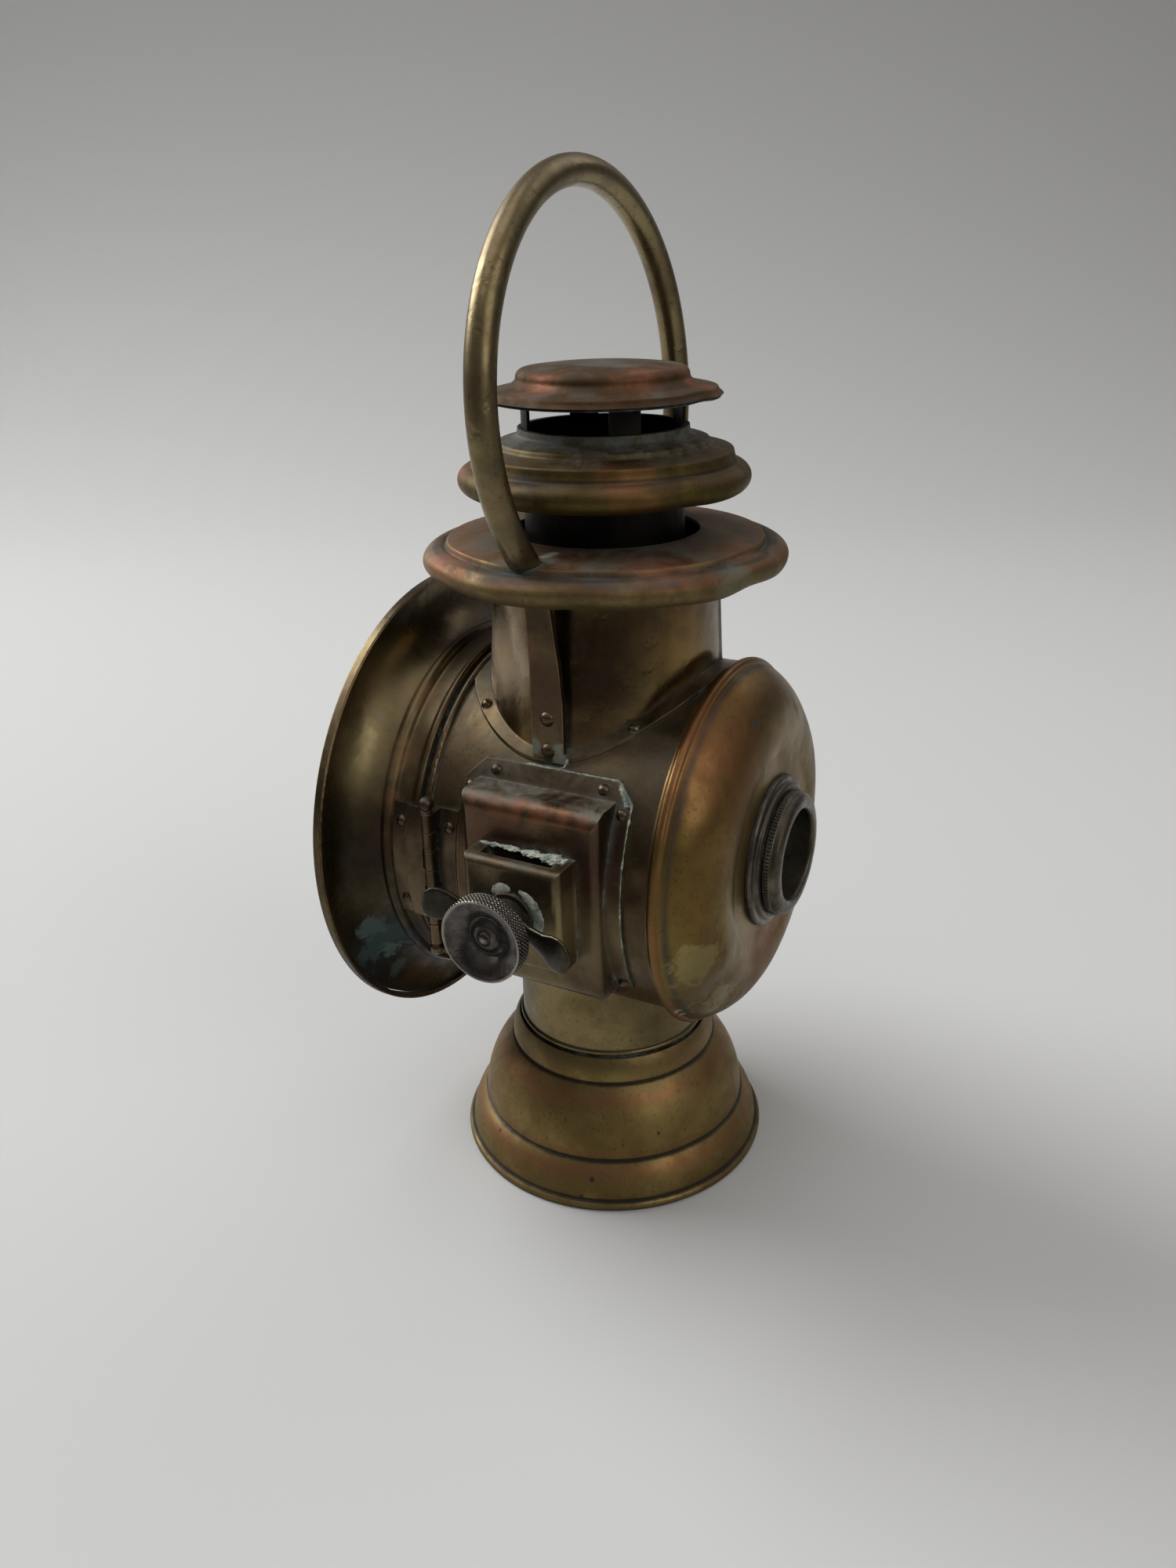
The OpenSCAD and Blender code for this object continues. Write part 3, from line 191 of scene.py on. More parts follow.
def spin(outline: Array, turn: Turn, segments: int = 192, lift: Union[float, Array] = 0.0) -> Array:
    """The outline carried round an axis: ((r + l) cos t, (r + l) sin t) in the plane square to it.

    Args:
        outline: Rows of (radius, place along the axis), in mm.
        turn: The axis.
        segments: Number of steps round it.
        lift: The l of the formula, a number or one for each row and step.

    Returns:
        Points as an array of outline rows, segments and three.
    """
    t = steps(segments)
    r, h = outline[:, :1] + lift, np.repeat(outline[:, 1:], segments, 1)
    a, b = r * np.cos(t), r * np.sin(t)
    if turn is Turn.UPRIGHT:
        return np.stack([a, b, h], 2)
    if turn is Turn.BODY:
        return np.stack([a, h, AXIS_Z + b], 2)
    return np.stack([h, SCREW_Y + a, AXIS_Z + b], 2)


def sweep(path: Array, radius: Array, sides: int) -> Array:
    """A round section carried along a path, turned with the path's own frame.

    Args:
        path: Rows of points, in mm.
        radius: Radius of the section at each point.
        sides: Number of steps round the section.

    Returns:
        Points as an array of path rows, sides and three.
    """
    along = np.gradient(path, axis=0)
    along /= np.linalg.norm(along, axis=1)[:, None] + 1e-12
    up = np.where(np.abs(along[:, 2:]) > 0.9, [[1.0, 0, 0]], [[0, 0, 1.0]])
    side = np.cross(along, up)
    side /= np.linalg.norm(side, axis=1)[:, None]
    over = np.cross(side, along)
    t = steps(sides)[None, :, None]
    ring = np.cos(t) * side[:, None] + np.sin(t) * over[:, None]
    return path[:, None] + np.asarray(radius)[:, None, None] * ring


def dented(points: Array, place: Point, width: float, push: Point) -> Array:
    """Points moved by push times exp(-d^2 / 2w^2), for their distance d from the place.

    Args:
        points: Points of any shape, in mm.
        place: Middle of the dent.
        width: The w of the formula, in mm.
        push: Move at the middle, in mm.

    Returns:
        The moved points.
    """
    d2 = ((points - np.asarray(place)) ** 2).sum(-1, keepdims=True)
    return points + np.exp(-d2 / (2 * width * width)) * np.asarray(push)


def ripple(points: Array, length: float, height: float, seed: int) -> Array:
    """A smooth uneven field: a sum of sine waves with seeded directions and phases.

    Args:
        points: Points of any shape, in mm.
        length: Typical wave length, in mm.
        height: Typical height.
        seed: Seed of the directions.

    Returns:
        The field's value at each point.
    """
    rng = np.random.default_rng(seed)
    ways = rng.normal(size=(WAVES, 3))
    ways /= np.linalg.norm(ways, axis=1)[:, None]
    waves = 2 * np.pi / (length * rng.uniform(*WAVE_SPREAD, WAVES))
    return height * np.sin((points @ ways.T) * waves + rng.uniform(0, WAVE_PHASE, WAVES)).sum(-1) / WAVE_SUM


def off_axis(points: Array) -> Array:
    """Distance from the upright axis."""
    return np.hypot(points[..., X], points[..., Y])


def to_rear(points: Array) -> Array:
    """Way to the rear."""
    return points[..., Y]


def to_front(points: Array) -> Array:
    """Way to the front."""
    return -points[..., Y]


def knocked(points: Array, dents: Dents) -> Array:
    """Points with a row of dents pushed in, each given by its place, width and push."""
    for dent in dents:
        points = dented(points, *dent)
    return points


def worn(
    points: Array, dents: Dents, axis: int, wave: Wave, far: Callable[[Array], Array],
    start: float, run: float,
) -> Array:
    """A knocked sheet: dents, then a ripple along one axis, times (f - start) / run between 0 and 1.

    Args:
        points: Points of any shape, in mm.
        dents: The dents.
        axis: The axis that the ripple moves along.
        wave: Length, height and seed of the ripple.
        far: The f of the formula, a measure of each point.
        start: Measure at which the ripple begins, in mm.
        run: Further way until it is full, in mm.

    Returns:
        The moved points.
    """
    points = knocked(points, dents)
    points[..., axis] += ripple(points, *wave) * np.clip((far(points) - start) / run, 0, 1)
    return points


# Meshes


class Surface:
    """Grids of points that become one mesh object."""

    def __init__(self, name: str) -> None:
        """Starts with no points."""
        self.name = name
        self.points: list[Array] = []
        self.faces: list[Array] = []

    def grid(
        self, points: Array, close_rows: bool = False, close_columns: bool = False, caps: bool = False
    ) -> "Surface":
        """Adds a grid of points as quads.

        Args:
            points: Rows, columns and three, in mm.
            close_rows: Joins the last row to the first.
            close_columns: Joins the last column to the first.
            caps: Closes the first and last row with fans of triangles round their means.

        Returns:
            The surface itself.
        """
        rows, columns = points.shape[:2]
        first = sum(len(p) for p in self.points)
        index = first + np.arange(rows * columns).reshape(rows, columns)
        if close_rows:
            index = np.concatenate([index, index[:1]])
        if close_columns:
            index = np.concatenate([index, index[:, :1]], 1)
        quads = np.stack([index[:-1, :-1], index[1:, :-1], index[1:, 1:], index[:-1, 1:]], -1).reshape(-1, 4)
        self.points.append(points.reshape(-1, 3))
        self.faces.append(quads)
        if caps:
            middle = np.stack([points[0].mean(0), points[-1].mean(0)])
            at = first + rows * columns
            self.points.append(middle)
            for row, hub in ((index[0], at), (index[-1], at + 1)):
                self.faces.append(np.stack([row[:-1], row[1:], np.full(len(row) - 1, hub)], -1))
        return self

    def object(self, sharp: float = SHARP) -> Piece:
        """Makes the mesh, with doubles merged and faces turned outwards.

        Args:
            sharp: Angle past which an edge is shaded sharp, in degrees.

        Returns:
            The linked object, at the origin.
        """
        mesh = bpy.data.meshes.new(self.name)
        faces = [face for block in self.faces for face in block.tolist()]
        mesh.from_pydata((np.concatenate(self.points) * MM).tolist(), [], faces)
        shape = bmesh.new()
        shape.from_mesh(mesh)
        bmesh.ops.remove_doubles(shape, verts=shape.verts, dist=MERGE)
        bmesh.ops.dissolve_degenerate(shape, edges=shape.edges, dist=SHORT)
        bmesh.ops.recalc_face_normals(shape, faces=shape.faces)
        shape.to_mesh(mesh)
        shape.free()
        mesh.shade_smooth()
        mesh.set_sharp_from_angle(angle=math.radians(sharp))
        piece = bpy.data.objects.new(self.name, mesh)
        bpy.context.scene.collection.objects.link(piece)
        return piece


def closed(name: str, points: Array, sharp: float = SHARP) -> Piece:
    """A grid that closes on itself both ways, as a piece."""
    return Surface(name).grid(points, True, True).object(sharp)


def dress(piece: Piece, finish: "Finish") -> None:
    """Gives a piece one finish on all its faces.

    Args:
        piece: The object.
        finish: The finish, whose material is made once.
    """
    piece.data.materials.clear()
    piece.data.materials.append(finish.material())
    for slot in piece.material_slots:
        slot.link = "DATA"
    LOG.info("%s: %s", piece.name, finish.name)


def dress_node(finish: "Finish", *names: str) -> None:
    """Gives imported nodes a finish, and leaves their meshes alone."""
    for name in names:
        dress(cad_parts[name], finish)


def settle(piece: Piece, finish: "Finish", body: str, slot: str, *nodes: str) -> None:
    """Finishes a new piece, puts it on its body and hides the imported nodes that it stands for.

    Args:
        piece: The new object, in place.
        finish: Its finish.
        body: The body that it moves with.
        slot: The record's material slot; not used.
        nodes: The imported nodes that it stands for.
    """
    dress(piece, finish)
    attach(piece, body)
    if nodes:
        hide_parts(*nodes)


# Shader graphs


class Graph:
    """A node tree with short calls for the nodes that the finishes use."""

    def __init__(self, tree: Tree) -> None:
        """Keeps the tree."""
        self.tree = tree

    def add(self, kind: str, **settings: object) -> Node:
        """Adds a node and sets its properties."""
        node = self.tree.nodes.new(kind)
        for name, value in settings.items():
            setattr(node, name, value)
        return node

    def put(self, socket: Socket, value: Feed) -> None:
        """Links a socket to another, or sets its value."""
        if isinstance(value, Socket):
            self.tree.links.new(value, socket)
        elif socket.type == "RGBA" and len(value) == 3:
            socket.default_value = (*value, 1.0)
        else:
            socket.default_value = value

    def math(self, operation: str, first: Feed, second: Feed = 0.0, clamp: bool = False) -> Socket:
        """The result of a Math node."""
        node = self.add("ShaderNodeMath", operation=operation, use_clamp=clamp)
        self.put(node.inputs[0], first)
        self.put(node.inputs[1], second)
        return node.outputs[0]

    def times(self, *values: Feed) -> Socket:
        """The product of several values."""
        result = values[0]
        for value in values[1:]:
            result = self.math("MULTIPLY", result, value)
        return result

    def vector(self, operation: str, first: Feed, second: Feed) -> Socket:
        """The result of a Vector Math node."""
        node = self.add("ShaderNodeVectorMath", operation=operation)
        self.put(node.inputs[0], first)
        self.put(node.inputs[1], second)
        return node.outputs["Value" if operation in ("DISTANCE", "DOT_PRODUCT") else "Vector"]

    def blend(self, factor: Feed, first: Feed, second: Feed) -> Socket:
        """The colour of a Mix node."""
        node = self.add("ShaderNodeMix", data_type="RGBA")
        self.put(node.inputs[0], factor)
        self.put(node.inputs[6], first)
        self.put(node.inputs[7], second)
        return node.outputs[2]

    def ease(self, value: Feed, low: Feed, high: Feed, to_low: float = 0.0, to_high: float = 1.0) -> Socket:
        """A smooth step of a value from one range to another."""
        node = self.add("ShaderNodeMapRange", interpolation_type="SMOOTHSTEP")
        for socket, number in zip(node.inputs, (value, low, high, to_low, to_high)):
            self.put(socket, number)
        return node.outputs[0]

    def noise(self, vector: Feed, scale: float, detail: float, rough: float, warp: float = 0.0) -> Socket:
        """The value of a Noise Texture."""
        node = self.add("ShaderNodeTexNoise")
        self.put(node.inputs["Vector"], vector)
        for name, number in (
            ("Scale", scale), ("Detail", detail), ("Roughness", rough), ("Distortion", warp)
        ):
            node.inputs[name].default_value = number
        return node.outputs[0]

    def coord(self, kind: str = "Object") -> Socket:
        """Texture coordinates of a kind."""
        return self.add("ShaderNodeTexCoord").outputs[kind]

    def part(self, vector: Feed, axis: int) -> Socket:
        """One of a vector's three parts."""
        node = self.add("ShaderNodeSeparateXYZ")
        self.put(node.inputs[0], vector)
        return node.outputs[axis]

    def feed(self, shader: Node, values: dict[str, Feed]) -> None:
        """Sets or links a shader's inputs by name."""
        for name, value in values.items():
            self.put(shader.inputs[name], value)

    def bump(self, shader: Node, strength: float, distance: float, height: Feed) -> Node:
        """Joins a height to a shader's normal by a Bump node, which is returned."""
        node = self.add("ShaderNodeBump")
        self.feed(node, {"Strength": strength, "Distance": distance, "Height": height})
        self.put(shader.inputs["Normal"], node.outputs[0])
        return node

    def effect(self, build: Callable[[], Tree], **values: Feed) -> bpy.types.NodeOutputs:
        """Places the group of an effect, with its inputs set by name, and gives its outputs."""
        node = self.add("ShaderNodeGroup", node_tree=Shelf.group(build))
        self.feed(node, values)
        return node.outputs


class Effect:
    """An effect group: a graph between named sockets. Each has a Seed as well, which moves its noise."""

    def __init__(self, name: str, inputs: dict[Port, str], outputs: dict[Port, str]) -> None:
        """Makes the empty group, with a socket for each word."""
        self.tree = bpy.data.node_groups.new(name, "ShaderNodeTree")
        self.tree.interface.new_socket("Seed", in_out="INPUT", socket_type=Port.VECTOR.value)
        for way, ports in (("INPUT", inputs), ("OUTPUT", outputs)):
            for port, words in ports.items():
                for word in words.split():
                    self.tree.interface.new_socket(word, in_out=way, socket_type=port.value)
        self.graph = Graph(self.tree)
        self.given = self.graph.add("NodeGroupInput").outputs
        self.result = self.graph.add("NodeGroupOutput")

    def spot(self) -> Socket:
        """Object coordinates, moved by the group's Seed."""
        return self.graph.vector("ADD", self.graph.coord(), self.given["Seed"])

    def ragged(self, far: Socket, noise: Socket) -> Socket:
        """A soft edge by a distance, pushed in and out by noise, by the group's Ragged and Soft."""
        g = self.graph
        push = g.times(g.math("SUBTRACT", noise, 0.5), self.given["Ragged"], BLOT_PUSH)
        return g.ease(
            g.math("ADD", far, push), BLOT_EDGE, g.math("SUBTRACT", BLOT_EDGE, self.given["Soft"])
        )

    def done(self, **results: Feed) -> Tree:
        """Joins the group's outputs by name, and gives the group."""
        self.graph.feed(self.result, results)
        return self.tree


def patina() -> Tree:
    """Clouded colour of old brass: bright, deep brown, and copper red in patches or where it faces up."""
    effect = Effect(
        "patina",
        {Port.COLOUR: "Bright Deep Copper", Port.VALUE: "Upward Patches Tarnish", Port.VECTOR: "Grain"},
        {Port.COLOUR: "Color", Port.VALUE: "Cloud Film"},
    )
    g, given = effect.graph, effect.given
    place = g.vector("MULTIPLY", effect.spot(), given["Grain"])
    wide, middle = g.noise(place, 24, 5, 0.6, 0.4), g.noise(place, 95, 5, 0.6, 0.3)
    fine = g.noise(place, 900, 3, 0.6)
    wiped = g.noise(g.vector("MULTIPLY", place, (420, 420, 60)), 1, 4, 0.6)
    cloud = g.ease(g.math("ADD", g.times(wide, 0.6), g.times(middle, 0.4)), 0.38, 0.62)
    colour = g.blend(cloud, given["Bright"], given["Deep"])
    facing = g.times(g.ease(g.part(g.coord("Normal"), Z), 0.12, 0.7), given["Upward"])
    patch = g.times(g.ease(g.noise(place, 38, 4, 0.6, 0.6), 0.5, 0.68), given["Patches"])
    red = g.math("ADD", g.times(facing, g.ease(middle, 0.3, 0.62, 0.35, 1.0)), patch, True)
    colour = g.blend(red, colour, given["Copper"])
    film = g.times(g.ease(g.noise(place, 19, 5, 0.6, 0.7), 0.30, 0.60, 0.35, 1.0), given["Tarnish"])
    colour = g.blend(film, colour, BROWN_FILM)
    colour = g.blend(g.ease(fine, 0.57, 0.72, 0, 0.5), colour, DARK_SPECKLE)
    colour = g.blend(g.ease(wiped, 0.40, 0.75, 0, 0.16), colour, given["Bright"])
    return effect.done(Color=colour, Cloud=g.math("ADD", g.times(cloud, 0.6), g.times(wiped, 0.4)), Film=film)


def crevice() -> Tree:
    """Soiling in corners that also paints their shade: points whose sky is closed off within a short reach,
    broken up by noise.
    """
    effect = Effect("crevice", {Port.VALUE: "Reach"}, {Port.VALUE: "Mask"})
    g = effect.graph
    closed_off = g.add("ShaderNodeAmbientOcclusion", samples=8)
    g.put(closed_off.inputs["Distance"], effect.given["Reach"])
    broken = g.ease(g.noise(effect.spot(), 260, 4, 0.65), 0.25, 0.6, 0.55, 1)
    return effect.done(Mask=g.times(g.ease(closed_off.outputs["AO"], 0.9, 0.42), broken))


def edge_rub() -> Tree:
    """Edges that hands have rubbed bare: the turn of the normal within a short width, broken by noise."""
    effect = Effect("edge_rub", {Port.VALUE: "Width"}, {Port.VALUE: "Mask"})
    g = effect.graph
    rounded = g.add("ShaderNodeBevel", samples=6)
    g.put(rounded.inputs["Radius"], effect.given["Width"])
    turn = g.vector("DOT_PRODUCT", rounded.outputs[0], g.add("ShaderNodeNewGeometry").outputs["Normal"])
    broken = g.ease(g.noise(effect.spot(), 150, 4, 0.6), 0.34, 0.6, 0.25, 1)
    return effect.done(Mask=g.times(g.ease(turn, 0.99, 0.86), broken))


def settled_dust() -> Tree:
    """Dust on what faces up and in the corners, thicker in patches."""
    effect = Effect("settled_dust", {Port.VALUE: "Amount Corner"}, {Port.VALUE: "Mask"})
    g, given = effect.graph, effect.given
    up = g.part(g.coord("Normal"), Z)
    patch = g.ease(g.noise(effect.spot(), 60, 6, 0.7, 0.5), 0.36, 0.66)
    corner = g.times(given["Corner"], g.ease(up, -0.1, 0.5), 0.9)
    lying = g.math("ADD", g.times(g.ease(up, 0.35, 0.95), patch), corner, True)
    return effect.done(Mask=g.times(lying, given["Amount"]))


def verdigris() -> Tree:
    """Green and white copper salts, in corners and in ragged patches."""
    effect = Effect("verdigris", {Port.VALUE: "Amount Corner"}, {Port.VALUE: "Mask", Port.COLOUR: "Color"})
    g, given = effect.graph, effect.given
    place = effect.spot()
    near = g.math("ADD", g.times(given["Corner"], 0.26), g.times(given["Amount"], 0.16))
    mask = g.ease(g.math("ADD", g.noise(place, 85, 7, 0.72, 0.8), near), 0.70, 0.80)
    whole = g.math("MINIMUM", g.times(given["Amount"], 3.0), 1.0)
    shade = g.ease(g.noise(place, 500, 4, 0.6), 0.35, 0.65)
    return effect.done(Mask=g.times(mask, whole), Color=g.blend(shade, GREEN_SALT, WHITE_SALT))


def ragged_blot() -> Tree:
    """A ragged blot round a place, by the distance to it, on faces that look to a side."""
    effect = Effect(
        "ragged_blot", {Port.VECTOR: "Place Side", Port.VALUE: "Radius Ragged Soft"}, {Port.VALUE: "Mask"}
    )
    g, given = effect.graph, effect.given
    seen = g.ease(g.vector("DOT_PRODUCT", g.coord("Normal"), given["Side"]), -0.1, 0.0)
    far = g.math("DIVIDE", g.vector("DISTANCE", g.coord(), given["Place"]), given["Radius"])
    return effect.done(Mask=g.times(effect.ragged(far, g.noise(effect.spot(), 190, 6, 0.65, 0.6)), seen))


def belt() -> Tree:
    """A ragged band round an axis, by the distance along the axis from a height."""
    effect = Effect(
        "belt", {Port.VECTOR: "Axis", Port.VALUE: "Height Width Ragged Soft"}, {Port.VALUE: "Mask"}
    )
    g, given = effect.graph, effect.given
    along = g.vector("DOT_PRODUCT", g.coord(), given["Axis"])
    far = g.math("DIVIDE", g.math("ABSOLUTE", g.math("SUBTRACT", along, given["Height"])), given["Width"])
    return effect.done(Mask=effect.ragged(far, g.noise(effect.spot(), 70, 5, 0.65, 0.4)))


def worked_sheet() -> Tree:
    """Height of old worked sheet: slow waves, small knocks, fine scratches."""
    effect = Effect("worked_sheet", {Port.VALUE: "Wave Knock Scratch"}, {Port.VALUE: "Height"})
    g, given = effect.graph, effect.given
    place = effect.spot()
    wave = g.times(g.noise(place, 42, 2, 0.45), given["Wave"])
    knock = g.times(g.ease(g.noise(place, 170, 3, 0.5), 0.56, 0.74), given["Knock"], 0.12)
    lines = g.noise(g.vector("MULTIPLY", place, (2600, 1500, 240)), 1, 3, 0.6)
    scratch = g.times(g.math("SUBTRACT", lines, 0.5), given["Scratch"], 0.03)
    return effect.done(Height=g.math("ADD", g.math("SUBTRACT", wave, knock), scratch))


# Finishes

BROWN_FILM: Colour = (0.026, 0.018, 0.013)
DARK_SPECKLE: Colour = (0.02, 0.015, 0.010)
GREEN_SALT: Colour = (0.10, 0.19, 0.16)
WHITE_SALT: Colour = (0.36, 0.42, 0.37)
CRUMB_SHADE: Colour = (0.06, 0.06, 0.045)
COPPER_RED: Colour = (0.22, 0.082, 0.038)
PALE_SALT: Colour = (0.30, 0.32, 0.27)
NEAR_BLACK: Colour = (0.014, 0.011, 0.009)
GROOVE_BLACK: Colour = (0.013, 0.011, 0.009)
REARWARD: Point = (0.0, 1.0, 0.0)


class Shelf:
    """The effect groups and materials that were made, by name."""

    groups: dict[str, Tree] = {}
    materials: dict[str, bpy.types.Material] = {}

    @classmethod
    def group(cls, build: Callable[[], Tree]) -> Tree:
        """The effect group of a builder, made on first use."""
        if build.__name__ not in cls.groups:
            cls.groups[build.__name__] = build()
        return cls.groups[build.__name__]


@dataclass(frozen=True)
class Blot:
    """A mark at one place, in mm, used for stains and for painted shades and highlights: its colour, how much
    metal shows through, and its side, if on one only.
    """

    place: Point
    radius: float
    colour: Colour
    strength: float = 0.8
    ragged: float = 0.6
    metal: float = 0.2
    rough: float = 0.7
    soft: float = 0.4
    side: Point = (0.0, 0.0, 0.0)

    def mask(self, graph: Graph, seed: Point) -> Socket:
        """Where the stain lies, by its effect group."""
        place = tuple(MM * x for x in self.place)
        edge = {"Ragged": self.ragged, "Soft": self.soft, "Side": self.side}
        return graph.effect(ragged_blot, Place=place, Radius=MM * self.radius, Seed=seed, **edge)[0]


@dataclass(frozen=True)
class Belt:
    """A stain round a turned piece: its axis, its height along it and its half width, in mm."""

    axis: Turn
    height: float
    width: float
    colour: Colour
    strength: float = 0.8
    ragged: float = 0.4
    metal: float = 0.2
    rough: float = 0.7
    soft: float = 0.6

    def mask(self, graph: Graph, seed: Point) -> Socket:
        """Where the stain lies, by its effect group."""
        sizes = {
            "Height": MM * self.height, "Width": MM * self.width, "Ragged": self.ragged, "Soft": self.soft
        }
        return graph.effect(belt, Axis=self.axis.value, Seed=seed, **sizes)[0]


@dataclass(frozen=True)
class Finish:
    """A finish by name, made into a material once."""

    name: str

    def material(self) -> bpy.types.Material:
        """The finish's material."""
        if self.name not in Shelf.materials:
            material = bpy.data.materials.new(self.name)
            material.use_nodes = True
            self.paint(Graph(material.node_tree), material.node_tree.nodes["Principled BSDF"])
            Shelf.materials[self.name] = material
        return Shelf.materials[self.name]

    def paint(self, graph: Graph, shader: Node) -> None:
        """Builds the finish into its graph."""
        raise NotImplementedError

    def seed(self) -> Point:
        """An offset of the patterns, from the finish's name."""
        number = sum((i + 3) * ord(c) for i, c in enumerate(self.name))
        return tuple(number % top * step for top, step in SEED_STEPS)


@dataclass(frozen=True)
class OldMetal(Finish):
    """Old metal: clouded patina, rubbed edges, soiling and painted shade in corners, dust, copper salts,
    stains, painted shades and painted highlights.
    """

    bright: Colour = (0.22, 0.155, 0.066)
    deep: Colour = (0.10, 0.066, 0.034)
    copper: Colour = (0.22, 0.112, 0.066)
    rubbed: Colour = (0.30, 0.19, 0.095)
    # Colour of the corner soiling, which also paints the corners' shade
    grime_and_shade: Colour = (0.012, 0.010, 0.007)
    dust: Colour = (0.082, 0.086, 0.074)
    copper_up: float = 0.1
    copper_patch: float = 0.25
    tarnish: float = 0.2
    rub: float = 0.5
    rub_width: float = 1.2
    dirt_and_shade: float = 0.9
    crevice_reach: float = 4.0
    dusty: float = 0.3
    salts: float = 0.1
    rough: float = 0.3
    soft: float = 0.35
    grain: float = 1.0
    wave: float = 1.0
    knock: float = 0.4
    scratch: float = 0.25
    blots: tuple[Union[Blot, Belt], ...] = ()

    def paint(self, graph: Graph, shader: Node) -> None:
        """Builds the layers from the metal up: colour, then how metallic and rough each layer leaves it."""
        g, seed = graph, self.seed()
        base = g.effect(
            patina, Bright=self.bright, Deep=self.deep, Copper=self.copper, Upward=self.copper_up,
            Patches=self.copper_patch, Tarnish=self.tarnish, Grain=(self.grain,) * 3, Seed=seed,
        )
        corner = g.effect(crevice, Reach=self.crevice_reach * MM, Seed=seed)[0]
        edge = g.effect(edge_rub, Width=self.rub_width * MM, Seed=seed)[0]
        lying = g.effect(settled_dust, Amount=self.dusty, Corner=corner, Seed=seed)[0]
        salt = g.effect(verdigris, Amount=self.salts, Corner=corner, Seed=seed)
        bare = g.times(edge, g.math("SUBTRACT", 1.0, corner), self.rub)
        colour = g.blend(bare, base["Color"], self.rubbed)
        # Soiling and painted shade: corners darken by how closed off their sky is
        colour = g.blend(g.times(corner, self.dirt_and_shade), colour, self.grime_and_shade)
        colour = g.blend(lying, colour, self.dust)
        colour = g.blend(salt["Mask"], colour, salt["Color"])
        rough = g.ease(base["Cloud"], 0.1, 0.9, self.rough + ROUGH_FROM, self.rough + ROUGH_TO)
        rough = g.math("ADD", rough, g.times(corner, ROUGH_CORNER))
        lain = g.math("ADD", g.times(lying, ROUGH_DUST), g.times(salt["Mask"], ROUGH_SALT))
        rough = g.math("ADD", rough, lain, True)
        salt_soil_shade = g.math("ADD", salt["Mask"], g.times(corner, self.dirt_and_shade * HIDE_GRIME_SHADE))
        cover = g.math("ADD", g.times(lying, HIDE_DUST), salt_soil_shade, True)
        cover = g.math("ADD", cover, g.times(base["Film"], HIDE_FILM), True)
        for blot in self.blots:
            mask = g.times(blot.mask(g, seed), blot.strength)
            colour = g.blend(mask, colour, blot.colour)
            cover = g.math("ADD", cover, g.times(mask, 1 - blot.metal), True)
            rough = g.math("ADD", rough, g.times(mask, blot.rough - self.rough), True)
        metal = g.math("SUBTRACT", 1.0, cover, True)
        g.feed(shader, {"Base Color": colour, "Metallic": metal, "Roughness": rough})
        height = g.effect(worked_sheet, Wave=self.wave, Knock=self.knock, Scratch=self.scratch, Seed=seed)[0]
        height = g.math("ADD", height, g.times(salt["Mask"], SALT_HEIGHT))
        bump = g.bump(shader, strength=0.5, distance=0.0016, height=height)
        rounded = g.add("ShaderNodeBevel", samples=4)
        g.put(rounded.inputs["Radius"], self.soft * MM)
        g.put(bump.inputs["Normal"], rounded.outputs[0])


@dataclass(frozen=True)
class Glass(Finish):
    """Clear old glass with a film of dust."""

    tint: Colour = (0.90, 0.94, 0.92)
    dust: float = 0.04
    index: float = 1.5

    def paint(self, graph: Graph, shader: Node) -> None:
        """Full transmission, with roughness that follows the film of dust."""
        place = graph.coord()
        film = graph.ease(graph.noise(place, 90, 6, 0.65, 0.5), 0.4, 0.75, 0.03, 0.22)
        looks = {
            "Base Color": self.tint, "Transmission Weight": 1.0 - self.dust, "IOR": self.index,
            "Roughness": film,
        }
        graph.feed(shader, looks)
        graph.bump(shader, strength=0.08, distance=0.001, height=graph.noise(place, 60, 2, 0.5))


@dataclass(frozen=True)
class Cotton(Finish):
    """Flat woven cotton of a wick, or felt, browned towards its top."""

    cloth: Colour = (0.52, 0.45, 0.32)
    singed: Colour = (0.03, 0.022, 0.016)
    singe_z: float = 96.0
    singe_run: float = 6.0
    thread: float = 1600.0
    rough: float = 0.92

    def paint(self, graph: Graph, shader: Node) -> None:
        """Two crossed waves for the weave, and a brown tip."""
        g, place = graph, graph.coord()
        height = g.part(place, Z)
        across = g.math("SINE", g.times(g.part(place, Y), self.thread * 3.0))
        up = g.math("SINE", g.times(height, self.thread * 2.2))
        weave = g.math("ADD", g.times(across, up, 0.5), 0.5)
        mottle = g.noise(place, 700, 4, 0.6)
        colour = g.blend(g.ease(mottle, 0.3, 0.7, 0, 0.4), self.cloth, tuple(0.6 * c for c in self.cloth))
        colour = g.blend(g.times(weave, 0.4), colour, tuple(0.55 * c for c in self.cloth))
        burnt = g.ease(height, (self.singe_z - self.singe_run) * MM, self.singe_z * MM)
        g.feed(shader, {"Base Color": g.blend(burnt, colour, self.singed), "Roughness": self.rough})
        g.bump(shader, strength=0.6, distance=0.0004, height=g.math("ADD", weave, g.times(mottle, 0.6)))


@dataclass(frozen=True)
class Crust(Finish):
    """Dry crumbling copper salts."""

    pale: Colour = (0.46, 0.47, 0.38)
    green: Colour = (0.20, 0.24, 0.195)
    rough: float = 0.95

    def paint(self, graph: Graph, shader: Node) -> None:
        """Pale and green crumbs by noise, with a rough height."""
        g, place = graph, graph.coord()
        crumb = g.noise(place, 900, 6, 0.7, 0.4)
        colour = g.blend(g.ease(g.noise(place, 210, 4, 0.6), 0.38, 0.62), self.green, self.pale)
        colour = g.blend(g.ease(crumb, 0.5, 0.72, 0, 0.7), colour, CRUMB_SHADE)
        g.feed(shader, {"Base Color": colour, "Roughness": self.rough})
        g.bump(shader, strength=0.9, distance=0.0006, height=crumb)


